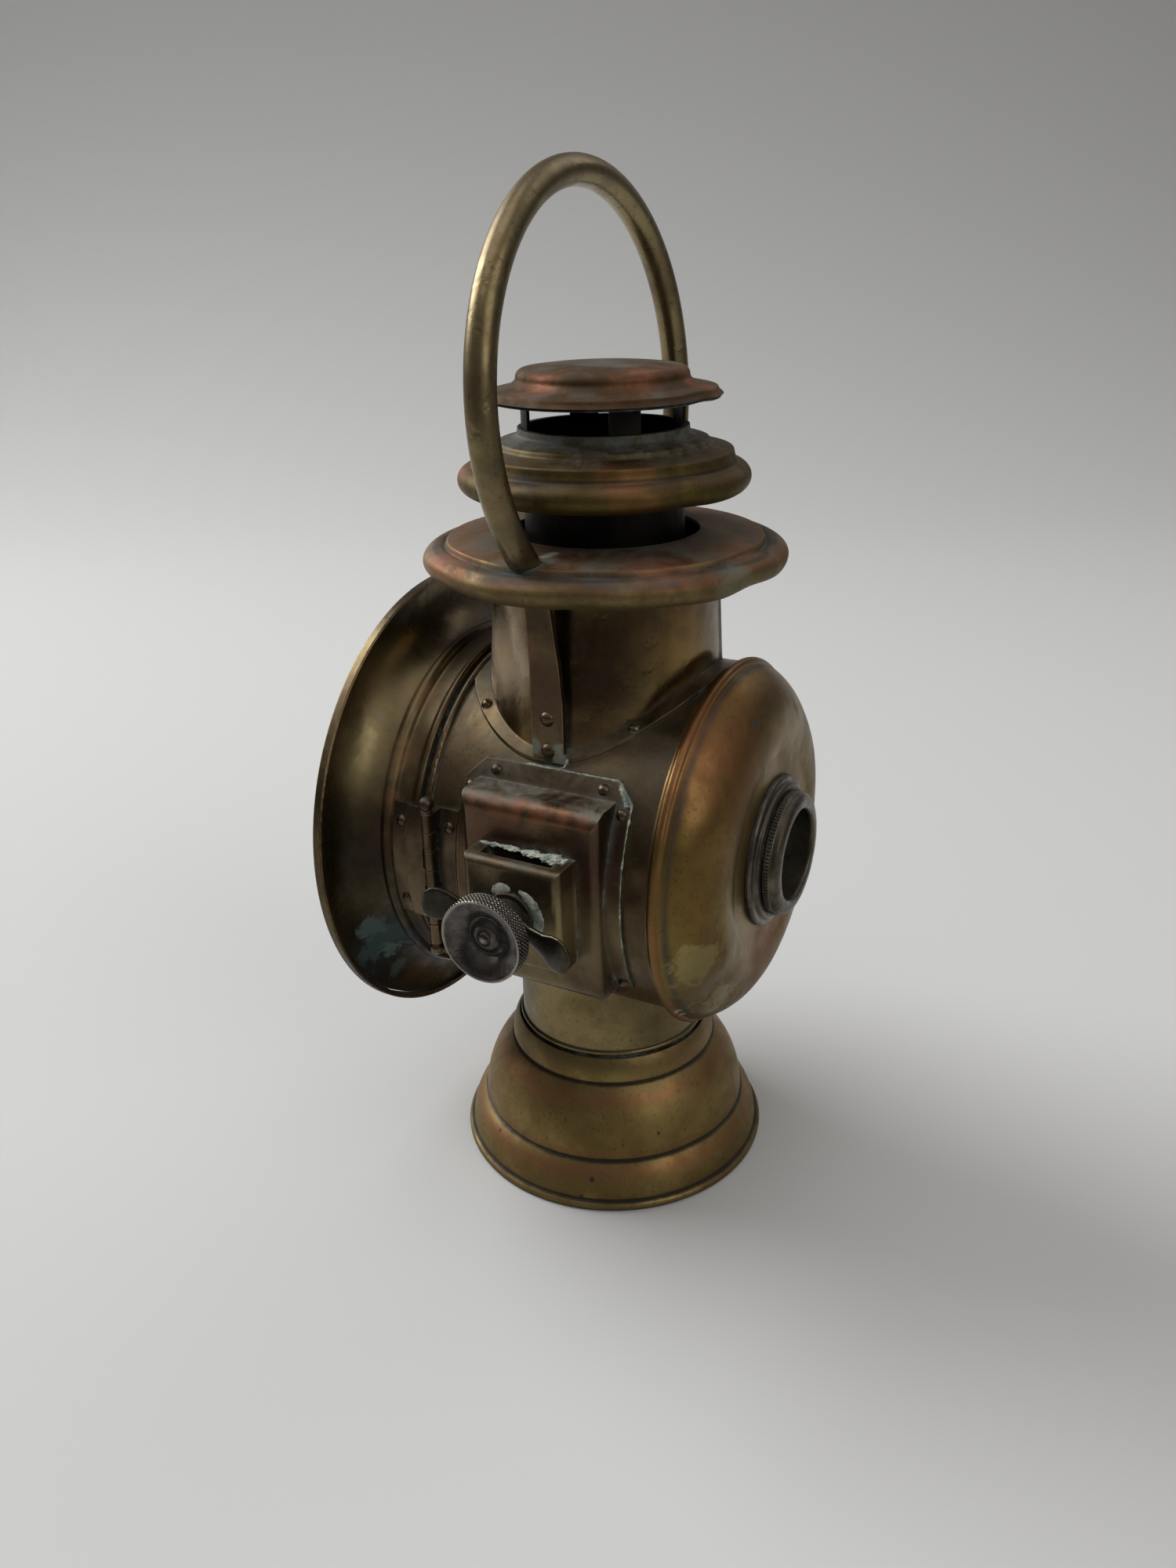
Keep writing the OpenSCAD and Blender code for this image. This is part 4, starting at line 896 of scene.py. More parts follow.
def groove(axis: Turn, height: float, width: float, strength: float = 0.9) -> Belt:
    """Black soiling in a groove round a turned piece."""
    return Belt(axis, height, width, GROOVE_BLACK, strength, 0.45, 0.75, 0.5, 0.9)


def red_belt(axis: Turn, height: float, width: float, strength: float = 0.5) -> Belt:
    """Copper red where a round edge is rubbed."""
    return Belt(axis, height, width, COPPER_RED, strength, 0.9, 0.9, 0.45, 1.2)


def red_rub(x: float, y: float, z: float, radius: float, strength: float = 0.7) -> Blot:
    """A place that is rubbed down to copper red."""
    return Blot((x, y, z), radius * 1.25, COPPER_RED, strength, 0.6, 0.9, 0.5, 1.1)


def speck(x: float, y: float, z: float, radius: float, strength: float = 0.8, ragged: float = 1.0) -> Blot:
    """A small black spot."""
    return Blot((x, y, z), radius, NEAR_BLACK, strength, ragged)


BODY_BRASS = OldMetal(
    "body_brass", bright=(0.205, 0.152, 0.074), deep=(0.092, 0.066, 0.034),
    copper=(0.18, 0.096, 0.05), copper_up=0.2, copper_patch=0.25, tarnish=0.25, dusty=0.4, salts=0.10,
    # Painted shade: a broad dark patch on the drum's right side next to the dome
    blots=(Blot((52.0, 37.0, 118.0), 34.0, (0.045, 0.026, 0.013), 0.75, 0.25, 0.95, 0.3, 0.9),),
)
BOX_BRASS = OldMetal(
    "box_brass", bright=(0.12, 0.079, 0.042), deep=(0.052, 0.033, 0.02), copper=(0.15, 0.066, 0.042),
    copper_up=0.05, copper_patch=0.22, tarnish=0.3, rub=0.85, rub_width=0.9,
    rubbed=(0.24, 0.18, 0.088), dusty=1.0, salts=0.14, dust=(0.125, 0.12, 0.095), soft=0.25,
    blots=(
        Blot((56.5, 5.0, 85.0), 17.0, (0.20, 0.165, 0.082), 0.6, 0.3, 0.85, 0.36, 1.0),
        Blot((57.0, -4.0, 128.0), 15.0, (0.062, 0.021, 0.013), 0.8, 0.3, 0.9, 0.4, 1.0),
        Blot((57.0, 16.0, 122.0), 15.0, (0.060, 0.021, 0.013), 0.75, 0.3, 0.9, 0.4, 1.0),
        # Painted light: a broad brighter patch on the box's right side
        Blot((52.0, 25.0, 104.0), 22.0, (0.17, 0.13, 0.065), 0.7, 0.3, 0.85, 0.4, 0.9),
        *(red_rub(56.0, y, 139.0, radius, strength) for y, radius, strength in (
            (-13.0, 3.2, 0.5), (-6.0, 3.6, 0.6), (1.0, 3.8, 0.7),
            (8.0, 3.8, 0.7), (15.0, 3.6, 0.65), (21.0, 3.0, 0.55),
        )),
    ),
)
SOCKET_BRASS = OldMetal(
    "socket_brass", bright=(0.18, 0.138, 0.066), deep=(0.085, 0.064, 0.034), copper_patch=0.15,
    tarnish=0.3, salts=0.2, rub=0.8, rub_width=1.0, rubbed=(0.27, 0.20, 0.095), dusty=0.4,
    # Painted light: a broad bright patch on the socket's right side
    blots=(Blot((62.0, 18.5, 112.0), 15.0, (0.27, 0.21, 0.10), 0.8, 0.3, 0.9, 0.4, 0.9),),
)
HOOD_BRASS = OldMetal(
    "hood_brass", bright=(0.135, 0.102, 0.047), deep=(0.058, 0.042, 0.021),
    copper=(0.17, 0.085, 0.045), copper_up=0.2, copper_patch=0.3, dusty=0.08,
    tarnish=0.3, rub=0.6, rub_width=1.4, rubbed=(0.22, 0.12, 0.062), salts=0.05,
    blots=(
        red_rub(46.7, -44.7, 144.2, 8.0), red_rub(52.8, -45.0, 132.2, 6.0), red_rub(33.0, -45.0, 158.5, 7.0),
        red_rub(55.0, -47.0, 119.0, 6.0, 0.5),
        # Painted highlight: two broad gold patches on the upper flare
        Blot((33.0, -53.0, 160.0), 22.0, (0.29, 0.23, 0.11), 0.65, 0.2, 0.9, 0.42, 1.0),
        Blot((49.0, -54.0, 143.0), 22.0, (0.29, 0.23, 0.11), 0.65, 0.2, 0.9, 0.42, 1.0),
        # Painted shade: two broad dark patches over the lower flare
        Blot((58.0, -53.0, 114.0), 25.0, (0.014, 0.010, 0.006), 0.9, 0.25, 0.95, 0.34, 1.0),
        Blot((48.0, -55.0, 80.0), 34.0, (0.016, 0.012, 0.008), 0.92, 0.25, 0.92, 0.36, 0.9),
        Blot((48.5, -54.8, 79.0), 13.5, (0.010, 0.013, 0.013), 0.95, 0.7, 0.5, 0.6, 0.35, REARWARD),
        Blot((49.0, -54.6, 80.0), 9.5, (0.040, 0.068, 0.062), 0.9, 0.9, 0.15, 0.7, 0.45, REARWARD),
        Blot((53.5, -55.0, 87.5), 5.0, (0.072, 0.105, 0.094), 0.85, 1.0, 0.15, 0.75, 0.4, REARWARD),
        Blot((45.5, -54.6, 75.0), 4.5, (0.085, 0.125, 0.11), 0.8, 1.1, 0.15, 0.75, 0.4, REARWARD),
        Blot((40.0, -56.0, 66.0), 4.0, (0.055, 0.085, 0.078), 0.7, 1.1, 0.2, 0.7, 0.5, REARWARD),
        Blot((41.8, -53.0, 152.5), 2.4, (0.26, 0.23, 0.13), 0.55, 1.0, 0.5, 0.4, 0.8),
    ),
)
HINGE_BRASS = OldMetal(
    "hinge_brass", bright=(0.125, 0.092, 0.05), deep=(0.05, 0.036, 0.023), copper_patch=0.25,
    tarnish=0.35, rub=0.8, rub_width=0.7, rubbed=(0.24, 0.16, 0.08), wave=0.3, salts=0.06,
)
FOOT_BRASS = OldMetal(
    "foot_brass", bright=(0.25, 0.178, 0.064), deep=(0.165, 0.112, 0.04),
    copper=(0.23, 0.118, 0.06), copper_patch=0.4, dusty=0.2, tarnish=0.06, rub=0.35,
    rub_width=1.0, rubbed=(0.24, 0.15, 0.075), salts=0.05, knock=0.7, crevice_reach=3.0, rough=0.5,
    blots=(
        red_belt(Turn.UPRIGHT, 11.0, 3.4), red_belt(Turn.UPRIGHT, 32.0, 3.6),
        red_belt(Turn.UPRIGHT, 16.5, 1.6, 0.35),
        Belt(Turn.UPRIGHT, 41.5, 5.0, (0.12, 0.086, 0.036), 0.5, 0.5, 0.9, 0.5, 1.0),
        groove(Turn.UPRIGHT, 14.1, 0.85), groove(Turn.UPRIGHT, 36.1, 0.95), groove(Turn.UPRIGHT, 3.0, 0.7),
        speck(44.5, 14.7, 9.6, 1.1, 0.95, 0.4), speck(28.8, 30.3, 22.0, 0.7, 0.9, 0.4),
        speck(40.0, -22.0, 12.5, 1.0, 0.85), speck(45.5, 8.0, 7.0, 0.8), speck(47.5, 12.0, 4.0, 1.2),
    ),
)
COLLAR_BRASS = OldMetal(
    "collar_brass", bright=(0.22, 0.172, 0.076), deep=(0.13, 0.098, 0.045), copper_patch=0.1, tarnish=0.12,
)
NECK_BRASS = OldMetal(
    "neck_brass", bright=(0.17, 0.118, 0.048), deep=(0.08, 0.05, 0.022), copper=(0.17, 0.082, 0.045),
    copper_patch=0.3, rough=0.22, tarnish=0.2, salts=0.05, rub_width=0.8,
    blots=(
        # Painted shade: a dark patch on the neck right of the strap
        Blot((35.0, 12.0, 172.0), 20.0, (0.03, 0.018, 0.011), 0.8, 0.2, 0.95, 0.22, 1.0),
        # Painted highlight: a pale sheen on the left of the neck
        Blot((29.0, -17.0, 173.0), 19.0, (0.62, 0.48, 0.33), 0.88, 0.15, 0.55, 0.3, 0.8),
        Blot((12.0, 30.0, 174.0), 16.0, (0.27, 0.165, 0.055), 0.55, 0.2, 0.95, 0.24, 1.0),
    ),
)
STRAP_BRASS = replace(
    NECK_BRASS, name="strap_brass", bright=(0.11, 0.077, 0.039), deep=(0.054, 0.035, 0.02),
    rub=0.7, rough=0.3, soft=0.25, salts=0.14,
    blots=(
        red_rub(37.0, -3.0, 180.0, 5.0, 0.5),
        Blot((36.0, 4.0, 187.0), 9.0, NEAR_BLACK, 0.55, 0.3, 0.8, 0.35, 1.0),
        Blot((40.0, 3.0, 167.0), 12.0, (0.042, 0.020, 0.014), 0.6, 0.3, 0.9, 0.34, 1.0),
        Blot((41.0, -1.2, 151.5), 2.4, (0.185, 0.20, 0.145), 0.85, 1.2, 0.1, 0.85, 0.35),
        Blot((41.0, 5.6, 149.5), 3.0, (0.205, 0.22, 0.16), 0.9, 1.2, 0.1, 0.85, 0.35),
        Blot((41.0, 2.5, 148.4), 2.0, (0.02, 0.017, 0.012), 0.9, 0.8, 0.6, 0.6, 0.5),
    ),
)
HANDLE_BRASS = OldMetal(
    "handle_brass", bright=(0.29, 0.232, 0.112), deep=(0.155, 0.116, 0.057), copper_patch=0.1, dusty=0.1,
    tarnish=0.2, rough=0.3, wave=0.5, knock=0.8, salts=0.03,
    blots=(
        Blot((57.6, 0.2, 229.0), 5.0, (0.045, 0.036, 0.024), 0.5, 0.4, 0.8, 0.4, 1.0),
        Blot((59.0, 0.0, 244.0), 1.3, PALE_SALT, 0.4, 1.0, 0.2, 0.7, 0.9),
        Blot((50.0, -1.0, 268.0), 2.2, (0.04, 0.032, 0.02), 0.5, 0.8, 0.7, 0.4, 1.0),
        Blot((50.0, 0.5, 213.0), 12.0, (0.05, 0.04, 0.024), 0.6, 0.3, 0.8, 0.4, 1.0),
    ),
)
CROWN_COPPER = OldMetal(
    "crown_copper", bright=(0.215, 0.16, 0.066), deep=(0.125, 0.09, 0.038), copper=COPPER_RED,
    copper_up=0.65, copper_patch=0.2, tarnish=0.15, dusty=0.8, rub=0.5, rub_width=1.5,
    rubbed=(0.21, 0.105, 0.056), salts=0.10, rough=0.56, dust=(0.085, 0.092, 0.077),
    blots=(
        groove(Turn.UPRIGHT, 200.4, 0.5, 0.6),
        Blot((6.0, 6.0, 206.0), 37.0, (0.082, 0.09, 0.077), 0.6, 0.5, 0.4, 0.6, 0.9),
        red_rub(40.8, -29.3, 199.2, 12.0), red_rub(31.0, 31.0, 203.0, 11.0),
        red_rub(5.0, 41.0, 203.0, 8.0, 0.6),
        Blot((19.3, 47.8, 197.7), 8.0, (0.12, 0.14, 0.105), 0.5, 0.9, 0.3, 0.7, 0.9),
        Blot((33.5, 0.5, 203.0), 2.6, PALE_SALT, 0.6, 1.0),
    ),
)
RING_COPPER = replace(
    CROWN_COPPER, name="ring_copper", bright=(0.108, 0.08, 0.019), deep=(0.062, 0.045, 0.012),
    copper=(0.098, 0.048, 0.017), dusty=0.35,
    blots=(
        Blot((0.0, 0.0, 232.0), 32.0, (0.125, 0.135, 0.122), 0.88, 0.35, 0.2, 0.7, 0.5),
        red_rub(30.0, 22.0, 221.0, 9.0, 0.5), red_rub(22.0, -30.0, 221.0, 9.0, 0.5),
        groove(Turn.UPRIGHT, 222.6, 0.6, 0.7),
        Blot((37.0, -2.5, 219.5), 9.0, NEAR_BLACK, 0.85, 0.5, 0.85, 0.5, 1.0),
    ),
)
CAP_COPPER = replace(
    RING_COPPER, name="cap_copper", dusty=0.65, bright=(0.095, 0.066, 0.032), copper=(0.095, 0.040, 0.020),
    rubbed=(0.14, 0.070, 0.036), rough=0.68,
    blots=(
        Blot((0.0, 0.0, 249.0), 17.0, (0.062, 0.063, 0.053), 0.5, 0.7, 0.4, 0.6, 0.9),
        red_rub(12.0, 17.0, 246.0, 9.0), red_rub(24.0, -6.0, 245.0, 8.0),
        red_rub(-4.0, 26.0, 243.0, 8.0), speck(15.1, 13.3, 247.2, 1.3, 0.8, 0.7),
    ),
)
DOME_COPPER = OldMetal(
    "dome_copper", bright=(0.19, 0.13, 0.036), deep=(0.122, 0.078, 0.023),
    copper=(0.19, 0.09, 0.033), copper_up=0.6, copper_patch=0.35, tarnish=0.12, dusty=0.06, rub=0.6,
    rub_width=1.8, rubbed=(0.25, 0.15, 0.08), salts=0.04, rough=0.4, wave=1.3, crevice_reach=5.0,
    blots=(
        Belt(Turn.BODY, 43.1, 1.7, (0.024, 0.025, 0.024), 0.75, 0.4, 0.6, 0.5, 1.3),
        red_belt(Turn.BODY, 40.4, 1.5),
        red_rub(26.0, 48.0, 152.0, 17.0, 0.5), red_rub(0.0, 54.0, 85.0, 20.0, 0.45),
        Blot((11.6, 51.6, 155.8), 1.7, (0.03, 0.028, 0.024), 0.9, 0.5, 0.3),
        speck(44.0, 47.0, 133.0, 0.8, 0.8, 1.2), speck(47.5, 46.0, 120.0, 0.7, 0.8, 1.2),
        speck(44.5, 49.0, 116.0, 0.6, 0.8, 1.2),
        # Bright gold patches on the lower dome: lighter metal, and a painted reflection of the floor
        Blot((46.0, 48.5, 98.0), 8.0, (0.28, 0.225, 0.095), 0.65, 1.1, 0.95, 0.3),
        Blot((30.0, 50.0, 77.0), 8.0, (0.30, 0.245, 0.11), 0.65, 1.2, 0.9, 0.3),
        Blot((39.6, 41.5, 77.6), 1.4, PALE_SALT, 0.6, 1.3, 0.3),
        Blot((36.9, 41.5, 74.8), 1.2, PALE_SALT, 0.6, 1.3, 0.3),
    ),
)
DARK_BRASS = OldMetal(
    "dark_brass", bright=(0.12, 0.088, 0.047), deep=(0.05, 0.037, 0.022), copper_patch=0.1, salts=0.12,
    rub=0.7, rub_width=0.6, wave=0.2,
)
RIVET_BRASS = OldMetal(
    "rivet_brass", bright=(0.13, 0.098, 0.052), deep=(0.065, 0.047, 0.027), copper_patch=0.15, salts=0.16,
    crevice_reach=2.0, rub=0.4, rub_width=0.5, wave=0.2, soft=0.15,
)
SOOT = OldMetal(
    "soot", bright=(0.018, 0.016, 0.015), deep=(0.007, 0.007, 0.007), copper=(0.05, 0.025, 0.018),
    copper_patch=0.15, rub=0.25, rubbed=(0.10, 0.07, 0.045), dusty=0.25, salts=0.0, rough=0.5,
)
GREY_NICKEL = OldMetal(
    "grey_nickel", bright=(0.11, 0.10, 0.092), deep=(0.026, 0.023, 0.023),
    copper=(0.15, 0.11, 0.07), copper_patch=0.3, tarnish=0.12, rub=0.9,
    rubbed=(0.40, 0.37, 0.31), rub_width=0.45, dirt_and_shade=0.95, crevice_reach=5.0, dusty=0.05,
    salts=0.02, rough=0.30, soft=0.1, grain=4.0, wave=0.3, knock=0.9, scratch=0.6,
    blots=(
        Belt(Turn.SCREW, 82.75, 0.35, (0.34, 0.31, 0.255), 0.7, 0.5, 0.95, 0.32, 0.8),
        # Painted highlight on the nub
        Blot((81.5, SCREW_Y, AXIS_Z), 1.3, (0.30, 0.27, 0.21), 0.7, 0.4, 0.95, 0.3, 0.8),
        # Painted shade: a dark streak down the dish right of the nub
        speck(79.3, 7.6, 119.4, 1.2, 0.95, 0.7), speck(78.9, 8.6, 116.8, 1.5, 0.95, 0.7),
        speck(78.7, 8.9, 114.0, 1.9, 0.95, 0.7), speck(78.7, 9.0, 111.0, 1.7, 0.95, 0.7),
        speck(79.0, 9.4, 108.4, 1.1, 0.9, 0.7),
    ),
)
BLACK_NICKEL = OldMetal(
    "black_nickel", bright=(0.145, 0.128, 0.092), deep=(0.055, 0.047, 0.034),
    copper=(0.11, 0.07, 0.042), copper_up=0.2, copper_patch=0.2, rub=0.8, rubbed=(0.32, 0.28, 0.20),
    rub_width=0.6, dusty=0.22, salts=0.05, rough=0.32, soft=0.12, grain=2.5, wave=0.3,
)
WING_BRASS = replace(
    BLACK_NICKEL, name="wing_brass", bright=(0.062, 0.057, 0.042), deep=(0.026, 0.024, 0.018), dusty=0.15
)
SILVERED = OldMetal(
    "silvered", bright=(0.62, 0.60, 0.54), deep=(0.36, 0.31, 0.23),
    copper=(0.34, 0.25, 0.14), copper_up=0.05, copper_patch=0.2, tarnish=0.1,
    rub=0.2, rubbed=(0.7, 0.68, 0.62), dusty=0.05, salts=0.0, rough=0.16, wave=0.4,
)
CLEAR_GLASS = Glass("clear_glass")
DUSTY_GLASS = Glass("dusty_glass", dust=0.14)
WICK_COTTON = Cotton("wick_cotton")
FELT = Cotton("felt", cloth=(0.16, 0.125, 0.09), singe_z=400.0, thread=900.0)
CRUST = Crust("salt_crust")


# Sub-assemblies


@dataclass
class Foot:
    """The stepped foot with its font, burner and wick."""

    rim_r: float = 50.0
    rim_wire: float = 1.6
    rim_z: float = 1.3
    band: Pair = (43.1, 14.4)
    top: Pair = (33.4, 36.3)
    lip: Pair = (31.0, 44.0)
    bulges: Point = (1.35, 2.25, 0.6)
    dents: Dents = (
        ((38.0, 17.0, 22.0), 5.0, (-0.35, -0.15, 0)),
        ((20.0, 36.0, 20.0), 6.0, (-0.15, -0.3, 0)),
    )
    wobble: Wave = (60, 0.0009, 3)

    def bell(self) -> Piece:
        """The spun bell: three bowed bands, nicked grooves under the steps, and a wired rim, flat below.

        Returns:
            The bell.
        """
        (band_r, band_z), (top_r, top_z), (low, middle, high) = self.band, self.top, self.bulges
        first_nick = [(band_r + 0.35, band_z - 0.5), (band_r - 0.35, band_z - 0.2)]
        second_nick = [(top_r + 0.3, top_z - 0.6), (top_r - 0.4, top_z - 0.25)]
        path = np.concatenate([
            bow((self.rim_r - 1.7, self.rim_z + 0.8), first_nick[0], low), first_nick,
            bow((band_r, band_z + 0.35), second_nick[0], middle), second_nick,
            bow((top_r - 0.05, top_z + 0.3), self.lip, high), [self.lip],
        ])
        wall = knocked(spin(walled(even(path, step=0.3, ease=0.14), SHEET), Turn.UPRIGHT), self.dents)
        wall[..., :Z] *= 1 + ripple(wall, *self.wobble)[..., None]
        round_wire = oval((self.rim_r - self.rim_wire, self.rim_z), self.rim_wire, self.rim_wire, 0, 348, 30)
        wire = spin(round_wire, Turn.UPRIGHT)
        wire[..., Z] = np.maximum(wire[..., Z], 0)
        return Surface("foot_bell_sheet").grid(wall, True, True).grid(wire, True, True).object()

    def build(self) -> None:
        """Builds and dresses the foot and what is in it."""
        settle(self.bell(), FOOT_BRASS, "font", "aged_brass", "foot_bell")
        dress_node(DARK_BRASS, "foot_plate", "oil_font")
        dress_node(BODY_BRASS, "filler_cap", "burner", "wick_tube")
        dress_node(GREY_NICKEL, "winder_shaft", "winder_knob")
        dress_node(WICK_COTTON, "wick")


@dataclass
class Body:
    """Drum, collar, rear dome, reflector and rear light."""

    dome_r: float = 53.55
    seam_y: float = 40.5
    ridge_r: float = 1.5
    flat_r: float = 30.0
    back_y: float = 53.6
    bulge: float = 4.6
    hole_r: float = 16.45
    dents: Dents = (
        ((33.0, 49.5, 82.0), 6.0, (-0.7, -1.1, 0.6)),
        ((24.2, 51.0, 76.0), 4.0, (-0.2, -0.9, 0.5)),
        ((38.0, 49.0, 128.0), 6.0, (-0.3, -0.4, -0.2)),
        ((36.0, 52.5, 99.0), 5.0, (0.1, 0.5, 0)),
        ((-25.0, 51.0, 140.0), 8.0, (0.3, -0.7, -0.3)),
        ((11.6, 51.6, 155.8), 1.1, (-0.05, -0.4, -0.2)),
    )
    wave: Wave = (30, 0.08, 5)
    wave_from: Pair = (44, 8)
    flange_path: Path = (
        (15.2, 50.0), (15.2, 59.95), (16.4, 59.95), (16.4, 56.75), (19.6, 56.75), (20.3, 56.3), (20.4, 55.75),
        (20.8, 55.4), (21.9, 55.3), (22.5, 54.7), (22.5, 53.65), (16.4, 53.65), (16.4, 50.0), (15.3, 50.0),
    )
    bezel_path: Path = (
        (16.8, 60.75), (16.8, 57.15), (18.2, 57.15), (18.55, 57.4), (18.6, 57.8), (18.6, 58.9), (18.2, 59.2),
        (18.2, 59.6), (18.0, 60.5), (17.3, 61.2), (16.3, 61.65), (15.2, 61.75), (14.2, 61.6), (13.7, 61.2),
        (13.6, 60.75), (16.6, 60.75),
    )
    teeth: int = 110
    tooth: float = 0.2
    tooth_from: Pair = (18.35, 59.1)
    spigot: Pair = (51.3, 52.35)
    spigot_y: Point = (-33.0, -34.35, -40.0)
    spigot_wall: float = 0.7

    def dome(self) -> Piece:
        """The dished rear, spun about the body's axis, with a half-round ridge at its seam and soft dents.

        Returns:
            The dome.
        """
        ridge = oval((self.dome_r, self.seam_y - self.ridge_r / 2), self.ridge_r, self.ridge_r, -90, 90, 30)
        path = np.concatenate([
            [(self.dome_r, self.seam_y - 2 * self.ridge_r)],
            ridge,
            bow((self.dome_r, self.seam_y + self.ridge_r), (self.flat_r, self.back_y), self.bulge, 80),
            [(self.flat_r, self.back_y), (self.hole_r, self.back_y)],
        ])
        shell = spin(walled(even(path, step=0.5, ease=0.38), SHEET), Turn.BODY, LARGE_TURN)
        return closed("rear_dome_sheet", worn(shell, self.dents, Y, self.wave, to_rear, *self.wave_from))

    def flange(self) -> Piece:
        """The rear light's flange: a rounded foot, a cove, a step and the boss, spun about the body's axis.

        Returns:
            The flange.
        """
        outline = even(np.array(self.flange_path), step=0.22, ease=0.15)
        return closed("light_flange", spin(outline, Turn.BODY, SMALL_TURN))

    def bezel(self) -> Piece:
        """The rear light's ring: a smooth roll at the front, and teeth h (cos(n t) - 1) in a band behind it.

        Returns:
            The ring.
        """
        outline = even(np.array(self.bezel_path), step=0.16, ease=0.13)
        t, (inner, front) = steps(6 * self.teeth), self.tooth_from
        band = np.clip((outline[:, 0] - inner) / 0.2, 0, 1) * np.clip((front - outline[:, 1]) / 0.2, 0, 1)
        points = spin(outline, Turn.BODY, len(t), self.tooth * band[:, None] * (np.cos(self.teeth * t) - 1))
        return closed("light_bezel", points, sharp=50)

    def mouth(self) -> Piece:
        """The ring in the drum's mouth, under the shut door: a thin sleeve that steps out ahead of the drum.

        Returns:
            The ring.
        """
        (low, high), (back, step, front), wall = self.spigot, self.spigot_y, self.spigot_wall
        path = np.array([
            (low, back), (low, step), (high, step - wall), (high, front),
            (high - wall, front), (high - wall, step - 1.6 * wall),
            (low - wall, step - wall), (low - wall, back), (low - 0.2, back),
        ])
        return closed("mouth_ring", spin(even(path, step=0.3, ease=0.15), Turn.BODY, SMALL_TURN))

    def build(self) -> None:
        """Builds and dresses the body."""
        settle(self.dome(), DOME_COPPER, "lamp", "copper_tinted_brass", "rear_dome")
        settle(self.flange(), BLACK_NICKEL, "lamp", "sooty_sheet", "light_socket")
        settle(self.bezel(), BLACK_NICKEL, "knurled_ring", "worn_nickel", "knurled_ring")
        settle(self.mouth(), DARK_BRASS, "lamp", "dark_brass")
        dress_node(BODY_BRASS, "body_drum", "neck_saddle")
        dress_node(COLLAR_BRASS, "lower_collar")
        dress_node(SILVERED, "reflector")
        dress_node(BLACK_NICKEL, "lens_cell")
        dress_node(DUSTY_GLASS, "rear_glass")
        dress_node(RIVET_BRASS, "saddle_rivets")


